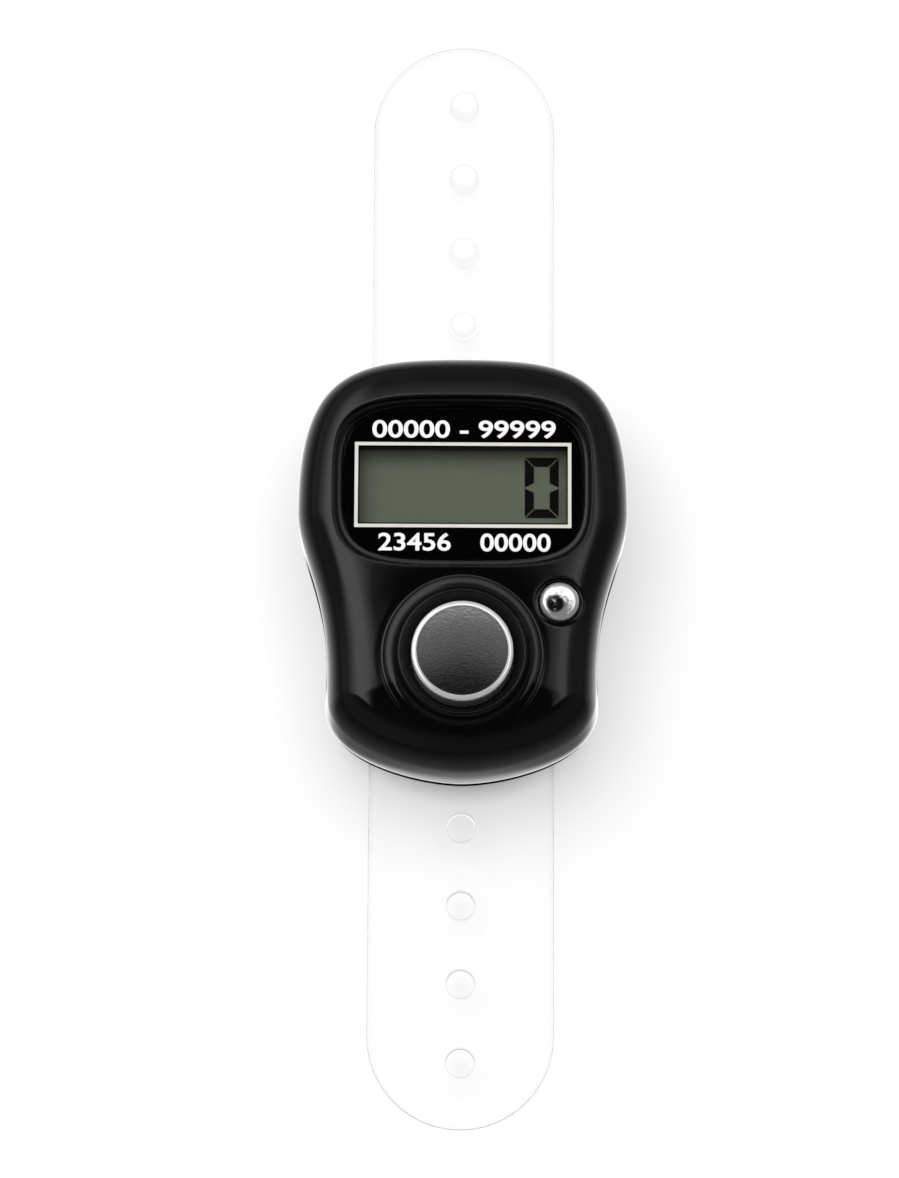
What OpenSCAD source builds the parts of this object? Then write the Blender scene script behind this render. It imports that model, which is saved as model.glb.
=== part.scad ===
// Finger tally counter: a domed two-part case with a display, a count button, a reset button
// and a clear strap that runs through a channel in the rear cover.
// Frame: +Z is the display side, +Y points to the pegged strap end, +X to the right.
// The origin is the centre of the flat rear face, so the counter rests on the plane z = 0.

/* [Case] */
// Length of the case along the strap
case_l = 38; // [37:0.5:48]
// Width of the case at its widest
case_w = 29.3; // [28:0.1:36]
// Width of the case at the neck, beside the count button
neck_w = 24; // [23.5:0.1:30]
// Width of the case at the chin corners
chin_w = 24.2; // [23.5:0.1:30]
// Distance from the top edge to the widest place
wide_from_top = 14; // [12:0.1:15]
// Distance from the bottom edge to the neck
neck_from_bottom = 10.2; // [9:0.1:12]
// Distance from the bottom edge to the start of the chin corners
chin_from_bottom = 7; // [6:0.1:8]
// Wall thickness of both shells
wall = 1.4; // [1.1:0.1:1.8]
// Height of the upper edge rounding
round_h = 4.4; // [4.2:0.1:4.8]
// Width of the upper edge rounding
round_w = 3.6; // [3:0.1:3.8]
// Rise of the domed deck inside the rounding
deck_rise = 0.5; // [0.3:0.1:0.8]
// Thickness of the deck over the cavity, at its edge
deck_t = 1.3; // [1.1:0.1:1.5]

/* [Rear cover] */
// Inset of the flat rear face from the case outline
rear_inset = 2.6; // [2:0.1:3]
// Thickness of the bridge that holds the strap in its channel
bridge_t = 1.2; // [1:0.1:1.4]
// Length of the bridge along the strap
bridge_l = 22; // [16:0.5:23]
// Thickness of the floor between the channel and the cavity
floor_t = 1.2; // [1:0.1:1.4]
// Height of the rear cover's wall above its floor
rear_wall_h = 1.5; // [1.3:0.1:1.9]
// Thickness of the locating lip
lip_t = 0.7; // [0.6:0.1:0.9]
// Height of the locating lip above the parting plane
lip_h = 1; // [0.6:0.1:1.4]

/* [Strap] */
// Width of the strap
strap_w = 16.5; // [14:0.5:17]
// Thickness of the strap
strap_t = 1.2; // [1:0.1:1.4]
// Distance from the case end to the first peg
first_peg = 5.1; // [4.6:0.1:8]
// Distance from the case end to the first hole
first_hole = 3.1; // [3:0.1:8]
// Number of pegs, and of holes
peg_count = 4; // [2:1:6]
// Distance between neighbouring pegs, and between holes
peg_pitch = 7; // [5:0.5:7.2]
// Distance from a strap tip to the nearest peg or hole
tip_to_peg = 5.9; // [4.5:0.1:6]
// Diameter of a peg
peg_d = 2.6; // [2:0.1:3]
// Height of a peg above the strap
peg_h = 1.5; // [1:0.1:1.6]
// Height of a peg's rounded crown
peg_crown = 0.4; // [0.2:0.1:0.6]
// How much smaller a hole is than a peg, across
hole_bite = 0.1; // [0.05:0.05:0.2]

/* [Window and display] */
// Lens margin beside the visible display area
lens_margin_x = 1.5; // [1.2:0.1:1.8]
// Lens margin above and below the visible display area
lens_margin_y = 3.5; // [3:0.1:3.6]
// Thickness of the window lens
lens_t = 1; // [0.8:0.1:1.2]
// Squareness of the window's corners, 2 for an ellipse
lens_power = 3.75; // [3:0.05:5]
// Distance from the case's top edge to the window's centre
window_from_top = 12.15; // [11.6:0.05:12.4]
// Depth of the lens below the deck's edge
lens_sink = 0.3; // [0.2:0.1:0.5]
// Width of the step around the lens
lens_step = 0.6; // [0.4:0.1:0.8]
// Width of the visible display area
view_w = 18.3; // [15:0.1:18.6]
// Height of the visible display area
view_h = 6.9; // [5.7:0.1:7]
// Width of the silver line around the visible area
border_line = 0.43; // [0.3:0.01:0.6]
// Glass margin beside the visible area
lcd_margin_x = 0.95; // [0.8:0.05:1.1]
// Glass margin above and below the visible area
lcd_margin_y = 0.7; // [0.5:0.1:0.8]
// Height of the contact ledge along the front glass's lower edge
lcd_ledge = 2.2; // [1.8:0.1:2.4]
// Thickness of each display glass
glass_t = 0.55; // [0.4:0.05:0.6]
// Thickness of the polariser and of the reflector
film_t = 0.2; // [0.15:0.05:0.25]
// Gap between the two glasses
cell_gap = 0.1; // [0.08:0.01:0.12]
// Distance from the last digit to the visible area's right edge
digit_edge = 0.65; // [0.4:0.05:1]
// Width of a digit
digit_w = 3.0; // [2.4:0.1:3.1]
// Margin between a digit and the visible area, above and below
digit_margin = 0.7; // [0.5:0.1:1]
// How far the digits sit above the visible area's centre
digit_shift = 0.25; // [0:0.05:0.4]
// Width of a segment bar
bar_w = 0.8; // [0.5:0.05:0.9]
// Gap between neighbouring segment bars
bar_gap = 0.12; // [0.08:0.01:0.2]

/* [Buttons] */
// Diameter of the count button
count_d = 8.9; // [8:0.1:10.8]
// Distance from the case's bottom edge to the count button's axis
count_from_bottom = 10.2; // [10:0.1:11]
// Travel of the count button
count_travel = 0.8; // [0.5:0.1:1]
// How far the count button stands above its collar
count_proud = 0.7; // [0.3:0.1:1]
// Width of the dish between the count button and the collar's rim
dish_w = 1; // [0.8:0.1:1.2]
// Width of the collar's outer slope
collar_w = 1.6; // [1.2:0.1:1.8]
// Height of the collar's rim above the deck's crown
rim_h = 1; // [0.6:0.1:1.2]
// Depth of the dish below the collar's rim
dish_depth = 0.7; // [0.4:0.1:0.9]
// Width of the hidden flange that stops the count button
count_flange = 0.9; // [0.6:0.1:1]
// Width of the bevel around the count button's top
count_bevel = 0.45; // [0.3:0.05:0.6]
// Diameter of the reset button
reset_d = 3.4; // [3:0.1:3.6]
// Sideways distance from the count button's axis to the reset button's
reset_dx = 8.5; // [8.2:0.1:8.6]
// Lengthways distance from the count button's axis to the reset button's
reset_dy = 4.8; // [4.6:0.1:5]
// Travel of the reset button
reset_travel = 0.5; // [0.3:0.1:0.6]
// Diameter of the well around the reset button
well_d = 4.3; // [4.2:0.1:4.8]
// Depth of that well below the deck's edge
well_depth = 0.6; // [0.4:0.1:0.8]
// How far the reset button stands above the deck's edge
reset_proud = 0.75; // [0.6:0.05:1]
// Height of the reset button's domed head
reset_crown = 0.6; // [0.4:0.1:0.8]
// Width of the hidden flange that stops the reset button
reset_flange = 0.45; // [0.3:0.05:0.5]
// Thickness of both flanges
flange_t = 0.7; // [0.6:0.1:0.8]

/* [Inside] */
// Thickness of the circuit board
pcb_t = 0.8; // [0.6:0.1:1]
// Height of the rubber contact strip between board and display
zebra_h = 1.75; // [1.6:0.05:1.9]
// Diameter of the button cell
cell_d = 11.6; // [9.5:0.1:14]
// Thickness of the button cell
cell_t = 3.05; // [2.6:0.05:3.1]
// Distance of the cell's axis from the case centre, towards the display
cell_y = 2; // [1:0.5:3]
// Thickness of the contact springs
spring_t = 0.2; // [0.15:0.05:0.25]
// Width of the contact springs
spring_w = 3; // [2:0.1:4]
// Height that the negative spring lifts the cell off the floor
spring_rise = 0.35; // [0.3:0.05:0.5]
// Radius of the count key's rubber foot
count_rubber_r = 4.4; // [4:0.1:5]
// Radius of the count key's rubber top
count_pad_r = 2.6; // [2.2:0.1:3]
// Radius of the reset key's rubber foot
reset_rubber_r = 2.5; // [2.3:0.1:2.6]
// Radius of the reset key's rubber top
reset_pad_r = 1.3; // [1.2:0.1:1.5]
// Thickness of the rubber keys' web
rubber_web = 0.35; // [0.25:0.05:0.4]
// Diameter of the screw shank
screw_d = 1.4; // [1.2:0.1:1.6]
// Diameter of the screw head
screw_head_d = 2.6; // [2.2:0.1:2.8]
// Distance from the case ends to the screws
screw_from_end = 4.6; // [4.4:0.1:5]
// Diameter of the screw bosses
boss_d = 3.6; // [3.2:0.1:3.8]

/* [Clearances] */
// Play of the strap in its channel, each side
strap_play = 0.3; // [0.2:0.05:0.4]
// Play of the strap in its channel, above and below
strap_lift = 0.25; // [0.15:0.05:0.3]
// Radial running clearance of the buttons
button_fit = 0.07; // [0.03:0.01:0.1]
// Gap between pieces that are laid in place
lay_gap = 0.1; // [0.05:0.01:0.15]
// Thin gap between pieces that only just clear each other
thin_gap = 0.05; // [0.03:0.01:0.08]
// Radial clearance of the screws
screw_fit = 0.1; // [0.05:0.05:0.15]

/* [Hidden] */
$fn = 64;

// A cut runs this far past the faces it opens
over = 1;
// Shapes that are moulded together run this far into each other
bite = 0.3;

// Colours
black = [0.03, 0.03, 0.035];
chrome = [0.78, 0.78, 0.8];
clear = [0.85, 0.9, 0.92, 0.45];
steel = [0.6, 0.6, 0.62];

// Heights from the rear face up to the cell and the board
channel_h = strap_t + 2 * strap_lift;
strap_z = bridge_t + strap_lift;
channel_top = bridge_t + channel_h;
floor_z = channel_top + floor_t;
part_z = floor_z + rear_wall_h;
cell_z = floor_z + spring_rise;
pcb_z = cell_z + cell_t + spring_t + thin_gap;
board_top = pcb_z + pcb_t;

// Heights of the display and the window over the board
front_glass_z = board_top + zebra_h;
rear_glass_z = front_glass_z - cell_gap - glass_t;
reflector_z = rear_glass_z - film_t;
polariser_z = front_glass_z + glass_t;
ledge_z = polariser_z + film_t + thin_gap;
ledge_t = 0.9;
tape_z = ledge_z + ledge_t;
tape_t = 0.15;
mask_z = tape_z + tape_t;
mask_t = 0.05;
lens_z = mask_z + mask_t;
lens_top = lens_z + lens_t;

// Heights of the deck, the collar and the buttons
round_end = 78;
deck_edge_z = lens_top + lens_sink;
deck_edge_inset = round_w * (1 - cos(round_end));
deck_top = deck_edge_z + deck_rise;
round_z = deck_edge_z - round_h * sin(round_end);
ceiling_z = deck_edge_z - deck_t;
rim_z = deck_top + rim_h;
dish_z = rim_z - dish_depth;
count_top = rim_z + count_proud;
count_stem = 0.4;
count_flange_z = ceiling_z - flange_t;
count_foot_z = count_flange_z - count_stem;
reset_top = deck_edge_z + reset_proud;
reset_guide_h = 1.6;
reset_guide_z = ceiling_z - reset_guide_h;
reset_foot_z = reset_guide_z - flange_t;

// Places in the plan
half_l = case_l / 2;
window_y = half_l - window_from_top;
count_y = count_from_bottom - half_l;
reset_x = reset_dx;
reset_y = count_y + reset_dy;
screw_rim = 1;
screw_x = strap_w / 2 - screw_head_d / 2 - screw_rim;
screw_y = half_l - screw_from_end;
screw_places = [for (sx = [-1, 1], sy = [-1, 1]) [sx * screw_x, sy * screw_y]];

// The case outline: four cubic curves down the right side, mirrored to the left.
// Each pair of handles gives how far a curve runs straight out of its two ends.
wide_y = half_l - wide_from_top;
neck_y = neck_from_bottom - half_l;
chin_y = chin_from_bottom - half_l;
top_handles = [case_w * 0.343, wide_from_top * 0.914];
flank_handles = [3.6, 6.4];
neck_handles = [1, 1];
chin_handles = [chin_w * 0.202, chin_w * 0.15];
side_curves = [
  [[0, half_l], [top_handles[0], half_l], [case_w / 2, wide_y + top_handles[1]],
    [case_w / 2, wide_y]],
  [[case_w / 2, wide_y], [case_w / 2, wide_y - flank_handles[0]],
    [neck_w / 2, neck_y + flank_handles[1]], [neck_w / 2, neck_y]],
  [[neck_w / 2, neck_y], [neck_w / 2, neck_y - neck_handles[0]],
    [chin_w / 2, chin_y + neck_handles[1]], [chin_w / 2, chin_y]],
  [[chin_w / 2, chin_y], [chin_w / 2, chin_y - chin_handles[0]],
    [chin_handles[1], -half_l], [0, -half_l]]
];
curve_steps = [12, 8, 2, 12];

function cubic(p, t) =
  pow(1 - t, 3) * p[0] + 3 * pow(1 - t, 2) * t * p[1] + 3 * (1 - t) * t * t * p[2] + pow(t, 3) * p[3];

right_side = [
  for (i = [0 : len(side_curves) - 1])
    for (k = [0 : curve_steps[i] - 1])
      cubic(side_curves[i], k / curve_steps[i])
];
right_count = len(right_side);
// Anticlockwise: up the right side from the bottom centre, then down the left side
outline = concat(
  [[0, -half_l]],
  [for (i = [right_count - 1 : -1 : 0]) right_side[i]],
  [for (i = [1 : right_count - 1]) [-right_side[i][0], right_side[i][1]]]
);
outline_count = len(outline);

function outward(i) =
  let (
    before = outline[(i + outline_count - 1) % outline_count],
    after = outline[(i + 1) % outline_count],
    along = after - before
  )
  [along[1], -along[0]] / norm(along);
outline_normals = [for (i = [0 : outline_count - 1]) outward(i)];

// The outline drawn in by a distance, as plan points
function inset_outline(d) = [for (i = [0 : outline_count - 1]) outline[i] - d * outline_normals[i]];

// A ring of the outline drawn in by d, then scaled about the centre, at height z
function ring(d, z, share = 1) = [for (p = inset_outline(d)) [p[0] * share, p[1] * share, z]];

// The radius of a ball whose cap has this rim radius and height
function cap_ball(r, h) = (r * r + h * h) / (2 * h);

// A closed solid through a stack of rings with equal point counts, lowest first
module loft(rings) {
  n = outline_count;
  last = len(rings) - 1;
  points = [for (r = rings) each r];
  walls = [
    for (k = [0 : last - 1])
      for (i = [0 : n - 1])
        let (a = k * n + i, b = k * n + (i + 1) % n)
        each [[a, a + n, b], [b, a + n, b + n]]
  ];
  floor_face = [for (i = [0 : n - 1]) i];
  roof_face = [for (i = [n - 1 : -1 : 0]) last * n + i];
  polyhedron(points, concat(walls, [floor_face, roof_face]));
}

// The window's outline by formula: a rectangle with round corners and gently bowed sides
lens_w = view_w + 2 * lens_margin_x;
lens_h = view_h + 2 * lens_margin_y;

module window_shape(grow = 0) {
  steps = 72;
  power = 2 / lens_power;
  a = lens_w / 2 + grow;
  b = lens_h / 2 + grow;
  polygon([
    for (i = [0 : steps - 1])
      let (c = cos(360 * i / steps), s = sin(360 * i / steps))
      [a * sign(c) * pow(abs(c), power), b * sign(s) * pow(abs(s), power)]
  ]);
}

// The visible display area, grown by a margin
module view_shape(grow = 0) {
  square([view_w + 2 * grow, view_h + 2 * grow], center = true);
}

// A block centred in x, from the lower to the upper y and z
module block(w, low, high) {
  translate([-w / 2, low[0], low[1]]) cube([w, high[0] - low[0], high[1] - low[1]]);
}

module at_window(z) {
  translate([0, window_y, z]) children();
}

module at_count(z) {
  translate([0, count_y, z]) children();
}

module at_reset(z) {
  translate([reset_x, reset_y, z]) children();
}

module at_screws(z) {
  for (p = screw_places) translate([p[0], p[1], z]) children();
}

// Front shell
edge_break = 0.15;
round_steps = 5;
deck_shares = [0.75, 0.45, 0.1];
// The cavity's shoulder, as shares of the outer rounding: inset and height below the ceiling,
// and the share of the upper of these rings that the ceiling keeps
shoulder_low = [0.14, 0.27];
shoulder_mid = [0.4, 0.11];
shoulder_top = 0.93;
reset_guide_wall = 0.8;
screw_top = ceiling_z - 0.8;
screw_tip_room = 0.4;

module shell_outside() {
  rounding = [
    for (k = [1 : round_steps])
      let (a = round_end * k / round_steps)
      ring(round_w * (1 - cos(a)), round_z + round_h * sin(a))
  ];
  deck = [
    for (share = deck_shares)
      ring(deck_edge_inset, deck_edge_z + deck_rise * (1 - share * share), share)
  ];
  loft(concat(
    [ring(edge_break, part_z), ring(0, part_z + edge_break), ring(0, round_z)], rounding, deck
  ));
}

module shell_cavity() {
  loft([
    ring(wall, part_z - over),
    ring(wall, round_z),
    ring(wall + shoulder_low[0] * round_w, ceiling_z - shoulder_low[1] * round_h),
    ring(wall + shoulder_mid[0] * round_w, ceiling_z - shoulder_mid[1] * round_h),
    ring(wall + shoulder_mid[0] * round_w, ceiling_z, shoulder_top)
  ]);
}

module collar() {
  rim_r = count_d / 2 + dish_w;
  foot_r = rim_r + collar_w;
  foot_z = deck_edge_z - bite;
  at_count(0)
    rotate_extrude()
      polygon([
        [0, foot_z], [foot_r, foot_z], [foot_r, deck_edge_z], [rim_r, rim_z],
        [count_d / 2 + button_fit, dish_z], [0, dish_z]
      ]);
}

module front_shell() {
  color(black)
    difference() {
      union() {
        difference() {
          union() {
            shell_outside();
            collar();
          }
          shell_cavity();
        }
        at_window(ledge_z) linear_extrude(ceiling_z + bite - ledge_z) window_shape(bite);
        at_screws(board_top) cylinder(d = boss_d, h = ceiling_z + bite - board_top);
        at_reset(reset_guide_z)
          cylinder(d = reset_d + 2 * reset_guide_wall, h = reset_guide_h + bite);
      }
      at_window(tape_z) linear_extrude(deck_top) window_shape(lay_gap);
      at_window(lens_top) linear_extrude(deck_top) window_shape(lens_step);
      at_window(ledge_z - over) linear_extrude(ledge_t + 2 * over) view_shape(border_line);
      at_count(part_z) cylinder(d = count_d + 2 * button_fit, h = rim_z);
      at_reset(part_z) cylinder(d = reset_d + 2 * button_fit, h = rim_z);
      at_reset(deck_edge_z - well_depth) cylinder(d = well_d, h = rim_z);
      at_screws(board_top - over)
        cylinder(d = screw_d + thin_gap, h = screw_top + screw_tip_room + over - board_top);
    }
}

// Rear cover
head_t = 0.9;
head_depth = 1.1;
head_seat_z = channel_top + head_depth;
lip_inset = wall + lay_gap;
cavity_inset = lip_inset + lip_t;
rear_step = 0.12;
// The rounded rear edge, as shares of the rear inset and of the parting height
rear_edge = [[1, 0], [0.7, 0.06], [0.4, 0.22], [0.18, 0.5]];
cell_wall_t = 0.75;
cell_wall_h = 2.4;
cell_room_d = cell_d + 4 * lay_gap;
channel_w = strap_w + 2 * strap_play;

module rear_outside() {
  loft(concat(
    [for (e = rear_edge) ring(e[0] * rear_inset, e[1] * part_z)], [ring(rear_step, part_z)]
  ));
}

// The channel is open to the rear beyond the bridge
module strap_channel() {
  translate([-channel_w / 2, -case_l, bridge_t]) cube([channel_w, 2 * case_l, channel_h]);
  for (side = [0, 180])
    rotate(side)
      translate([-channel_w / 2, bridge_l / 2, -over]) cube([channel_w, case_l, channel_top + over]);
}

// A low round wall that holds the cell, with a gap for the spring's leg
module cell_wall() {
  translate([0, cell_y, floor_z])
    difference() {
      translate([0, 0, -bite]) cylinder(d = cell_room_d + 2 * cell_wall_t, h = cell_wall_h + bite);
      translate([0, 0, -over]) cylinder(d = cell_room_d, h = cell_wall_h + 2 * over);
      translate([0, -spring_w / 2 - lay_gap, 0])
        cube([cell_d, spring_w + 2 * lay_gap, cell_wall_h + over]);
    }
}

module rear_cover() {
  color(black)
    difference() {
      union() {
        difference() {
          union() {
            rear_outside();
            translate([0, 0, floor_z])
              linear_extrude(rear_wall_h + lip_h) polygon(inset_outline(lip_inset));
          }
          translate([0, 0, floor_z])
            linear_extrude(rear_wall_h + lip_h + over) polygon(inset_outline(cavity_inset));
          strap_channel();
        }
        at_screws(channel_top) cylinder(d = boss_d, h = pcb_z - channel_top);
        cell_wall();
      }
      at_screws(channel_top - over)
        cylinder(d = screw_head_d + 2 * screw_fit, h = head_depth + over);
      at_screws(channel_top) cylinder(d = screw_d + 2 * screw_fit, h = pcb_z);
    }
}

// Window
module window_lens() {
  color(clear) at_window(lens_z) linear_extrude(lens_t) window_shape();
}

module window_mask() {
  color("black")
    at_window(mask_z)
      linear_extrude(mask_t)
        difference() {
          window_shape(-lay_gap);
          view_shape(border_line);
        }
}

module window_border() {
  color("silver")
    at_window(mask_z)
      linear_extrude(mask_t)
        difference() {
          view_shape(border_line);
          view_shape();
        }
}

module window_tape() {
  color("dimgray")
    at_window(tape_z)
      linear_extrude(tape_t)
        difference() {
          window_shape(-2 * lay_gap);
          view_shape(border_line + lay_gap);
        }
}

// Display, from the foam pad up to the front polariser
lcd_w = view_w + 2 * lcd_margin_x;
view_low = window_y - view_h / 2;
view_high = window_y + view_h / 2;
glass_high = view_high + lcd_margin_y;
rear_low = view_low - lcd_margin_y;
front_low = rear_low - lcd_ledge;
film_edge = 0.4;
film_w = lcd_w - 2 * film_edge;
seal_w = 0.5;

module lcd_front_polariser() {
  color([0.5, 0.53, 0.47, 0.5])
    block(film_w, [rear_low, polariser_z], [glass_high - film_edge, polariser_z + film_t]);
}

module lcd_front_glass() {
  color(clear) block(lcd_w, [front_low, front_glass_z], [glass_high, polariser_z]);
}

module lcd_seal() {
  low_z = front_glass_z - cell_gap;
  color("gray")
    difference() {
      block(lcd_w, [rear_low, low_z], [glass_high, front_glass_z]);
      block(
        lcd_w - 2 * seal_w, [rear_low + seal_w, low_z - over], [glass_high - seal_w, front_glass_z + over]
      );
    }
}

module lcd_rear_glass() {
  color(clear) block(lcd_w, [rear_low, rear_glass_z], [glass_high, rear_glass_z + glass_t]);
}

module lcd_reflector() {
  color([0.55, 0.58, 0.5])
    block(film_w, [rear_low + film_edge, reflector_z], [glass_high - film_edge, rear_glass_z]);
}

digit_h = view_h - 2 * digit_margin;
digit_x = view_w / 2 - digit_edge - digit_w / 2;
segment_t = 0.8 * cell_gap;

// The bar along the digit's top, its outer side the longer one
module top_bar() {
  reach = digit_w / 2 - bar_gap / sqrt(2);
  translate([0, digit_h / 2])
    polygon([[-reach, 0], [reach, 0], [reach - bar_w, -bar_w], [-reach + bar_w, -bar_w]]);
}

// The upright bar from the digit's upper right corner to its middle
module upright_bar() {
  low = bar_gap / 2;
  high = digit_h / 2 - bar_gap / sqrt(2);
  outer = digit_w / 2;
  inner = outer - bar_w;
  polygon([[outer, low], [outer, high], [inner, high - bar_w], [inner, low + bar_w / 2]]);
}

module lcd_digit() {
  color([0.1, 0.11, 0.1])
    at_window(rear_glass_z + glass_t)
      translate([digit_x, digit_shift, 0])
        linear_extrude(segment_t)
          for (v = [0, 1])
            mirror([0, v]) {
              top_bar();
              for (h = [0, 1]) mirror([h, 0]) upright_bar();
            }
}

holder_wall = 0.8;
holder_top = ledge_z - thin_gap;
foam_edge = 2 * film_edge;
zebra_low = front_low + lay_gap;
zebra_high = rear_low - 2 * lay_gap;

module lcd_holder() {
  room_w = lcd_w + 2 * lay_gap;
  low = front_low - lay_gap;
  high = glass_high + lay_gap;
  color("white")
    difference() {
      block(room_w + 2 * holder_wall, [low - holder_wall, board_top], [high + holder_wall, holder_top]);
      block(room_w, [low, board_top - over], [high, holder_top + over]);
    }
}

module lcd_foam() {
  color("whitesmoke")
    block(lcd_w - 2 * foam_edge, [rear_low + foam_edge, board_top], [glass_high - foam_edge, reflector_z]);
}

module zebra_strip() {
  color("silver") block(film_w, [zebra_low, board_top], [zebra_high, front_glass_z]);
}

// Board
pcb_gap = 0.25;
pad_t = 0.05;
pad_gap = 0.5;
blob_r = 2.8;
blob_h = 1;
capacitor = [1.6, 0.8, 0.8];
capacitor_dx = 3.8;
capacitor_dy = 3.4;

module circuit_board() {
  color("darkgreen")
    difference() {
      translate([0, 0, pcb_z]) linear_extrude(pcb_t) polygon(inset_outline(wall + pcb_gap));
      at_screws(pcb_z - over) cylinder(d = screw_d + 2 * screw_fit, h = pcb_t + 2 * over);
    }
}

// Two half discs with a gap between them, which a pressed pill bridges
module pad_pair(r) {
  linear_extrude(pad_t)
    difference() {
      circle(r);
      square([pad_gap, 4 * r], center = true);
    }
}

module contact_pads() {
  color("gold") {
    at_count(board_top) pad_pair(count_pad_r - rubber_web);
    at_reset(board_top) pad_pair(reset_pad_r - rubber_web);
  }
}

// The chip's resin blob, on the board's rear under the count key
module chip_blob() {
  ball_r = cap_ball(blob_r, blob_h);
  color("black")
    intersection() {
      at_count(pcb_z - blob_h + ball_r) sphere(ball_r);
      at_count(pcb_z - blob_h - over) cylinder(r = blob_r + over, h = blob_h + over);
    }
}

module chip_capacitor() {
  color("tan")
    at_count(pcb_z - capacitor[2]) translate([capacitor_dx, capacitor_dy, 0]) cube(capacitor);
}

// Buttons
module count_button() {
  r = count_d / 2;
  color(chrome)
    at_count(0)
      rotate_extrude()
        polygon([
          [0, count_foot_z], [count_pad_r, count_foot_z], [count_pad_r, count_flange_z],
          [r + count_flange, count_flange_z], [r + count_flange, ceiling_z], [r, ceiling_z],
          [r, count_top - count_bevel], [r - count_bevel, count_top], [0, count_top]
        ]);
}

module reset_button() {
  r = reset_d / 2;
  ball_r = cap_ball(r, reset_crown);
  color(chrome) {
    intersection() {
      at_reset(reset_foot_z) cylinder(r = r, h = reset_top - reset_foot_z);
      at_reset(reset_top - ball_r) sphere(ball_r);
    }
    at_reset(reset_foot_z) cylinder(r = r, h = reset_top - reset_crown - reset_foot_z);
    at_reset(reset_foot_z) cylinder(r = r + reset_flange, h = flange_t);
  }
}

// Rubber keys and their carbon pills
press_gap = 0.05;
count_pill_z = board_top + pad_t + press_gap + count_travel;
count_pill_t = 0.5;
reset_pill_z = board_top + pad_t + press_gap + reset_travel;
reset_pill_t = 0.2;

// A foot ring, a thin sloping web and a solid top pad over a hollow
module rubber_key(foot_r, pad_r, top_z, hollow_z) {
  ring_w = 3 * rubber_web;
  step_z = board_top + rubber_web;
  rotate_extrude()
    polygon([
      [foot_r - ring_w, board_top], [foot_r, board_top], [foot_r, step_z],
      [foot_r - rubber_web, step_z], [pad_r, hollow_z + rubber_web / 2], [pad_r, top_z],
      [0, top_z], [0, hollow_z], [pad_r - rubber_web, hollow_z], [foot_r - ring_w, step_z]
    ]);
}

module count_rubber() {
  color("dimgray")
    at_count(0) rubber_key(count_rubber_r, count_pad_r, count_foot_z, count_pill_z + count_pill_t);
}

module reset_rubber() {
  color("dimgray")
    at_reset(0) rubber_key(reset_rubber_r, reset_pad_r, reset_foot_z, reset_pill_z + reset_pill_t);
}

module count_pill() {
  color("black") at_count(count_pill_z) cylinder(r = count_pad_r - rubber_web - lay_gap, h = count_pill_t);
}

module reset_pill() {
  color("black") at_reset(reset_pill_z) cylinder(r = reset_pad_r - rubber_web - lay_gap, h = reset_pill_t);
}

// Button cell and its springs
cell_cap_inset = 0.9;
cell_cap_h = 0.4;
cell_edge = 0.3;
leg_gap = 0.6;
spring_leg_x = cell_room_d / 2 + cell_wall_t + leg_gap;
dimple_d = 0.8 * spring_w;

module button_cell() {
  r = cell_d / 2;
  cap_r = r - cell_cap_inset;
  color(steel)
    translate([0, cell_y, cell_z])
      rotate_extrude()
        polygon([
          [0, 0], [cap_r, 0], [cap_r, cell_cap_h], [r - cell_edge, cell_cap_h],
          [r, cell_cap_h + cell_edge], [r, cell_t - cell_edge], [r - cell_edge, cell_t], [0, cell_t]
        ]);
}

// A leaf under the cell with a raised dimple, and a leg that rises to the board beside it
module negative_spring() {
  color("goldenrod")
    translate([0, cell_y, floor_z]) {
      translate([-spring_w, -spring_w / 2, 0]) cube([spring_leg_x + spring_w, spring_w, spring_t]);
      cylinder(d = dimple_d, h = spring_rise);
      translate([spring_leg_x - spring_t, -spring_w / 2, 0]) cube([spring_t, spring_w, pcb_z - floor_z]);
    }
}

// A plate on the board's rear that presses on the cell's can
module positive_spring() {
  plate_t = spring_t + thin_gap;
  color("goldenrod")
    translate([-spring_w / 2, cell_y - spring_w, pcb_z - plate_t]) cube([spring_w, 3 * spring_w, plate_t]);
}

// Case screws, with their heads sunk in the channel's floor under the strap
slot_w = 0.4;
slot_l = 0.7 * screw_head_d;
slot_depth = 0.45;

module case_screws() {
  head_z = head_seat_z - head_t;
  color(steel)
    at_screws(head_z)
      difference() {
        union() {
          cylinder(d = screw_head_d, h = head_t);
          cylinder(d = screw_d, h = screw_top - head_z);
        }
        for (turn = [0, 90])
          rotate(turn) translate([-slot_l / 2, -slot_w / 2, -over]) cube([slot_l, slot_w, slot_depth + over]);
      }
}

// Strap: the stretch in the channel, and the two free ends that bend where they leave the case
bend_from_case = 0.8;
joint_gap = 0.25;
bend_y = half_l + bend_from_case;
row_l = (peg_count - 1) * peg_pitch;
upper_tip = half_l + first_peg + row_l + tip_to_peg;
lower_tip = half_l + first_hole + row_l + tip_to_peg;

// A free end along +y, from the round end on its bend line to its round tip
module strap_end(tip) {
  tip_y = tip - strap_w / 2;
  translate([-strap_w / 2, bend_y, strap_z]) cube([strap_w, tip_y - bend_y, strap_t]);
  translate([0, tip_y, strap_z]) cylinder(d = strap_w, h = strap_t);
  translate([0, bend_y, strap_z + strap_t / 2])
    rotate([0, 90, 0]) cylinder(d = strap_t, h = strap_w, center = true);
}

module strap_middle() {
  stop_y = bend_y - strap_t / 2 - joint_gap;
  color(clear) translate([-strap_w / 2, -stop_y, strap_z]) cube([strap_w, 2 * stop_y, strap_t]);
}

module peg() {
  r = peg_d / 2;
  ball_r = cap_ball(r, peg_crown);
  intersection() {
    translate([0, 0, -bite]) cylinder(r = r, h = peg_h + bite);
    translate([0, 0, peg_h - ball_r]) sphere(ball_r);
  }
}

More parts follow.
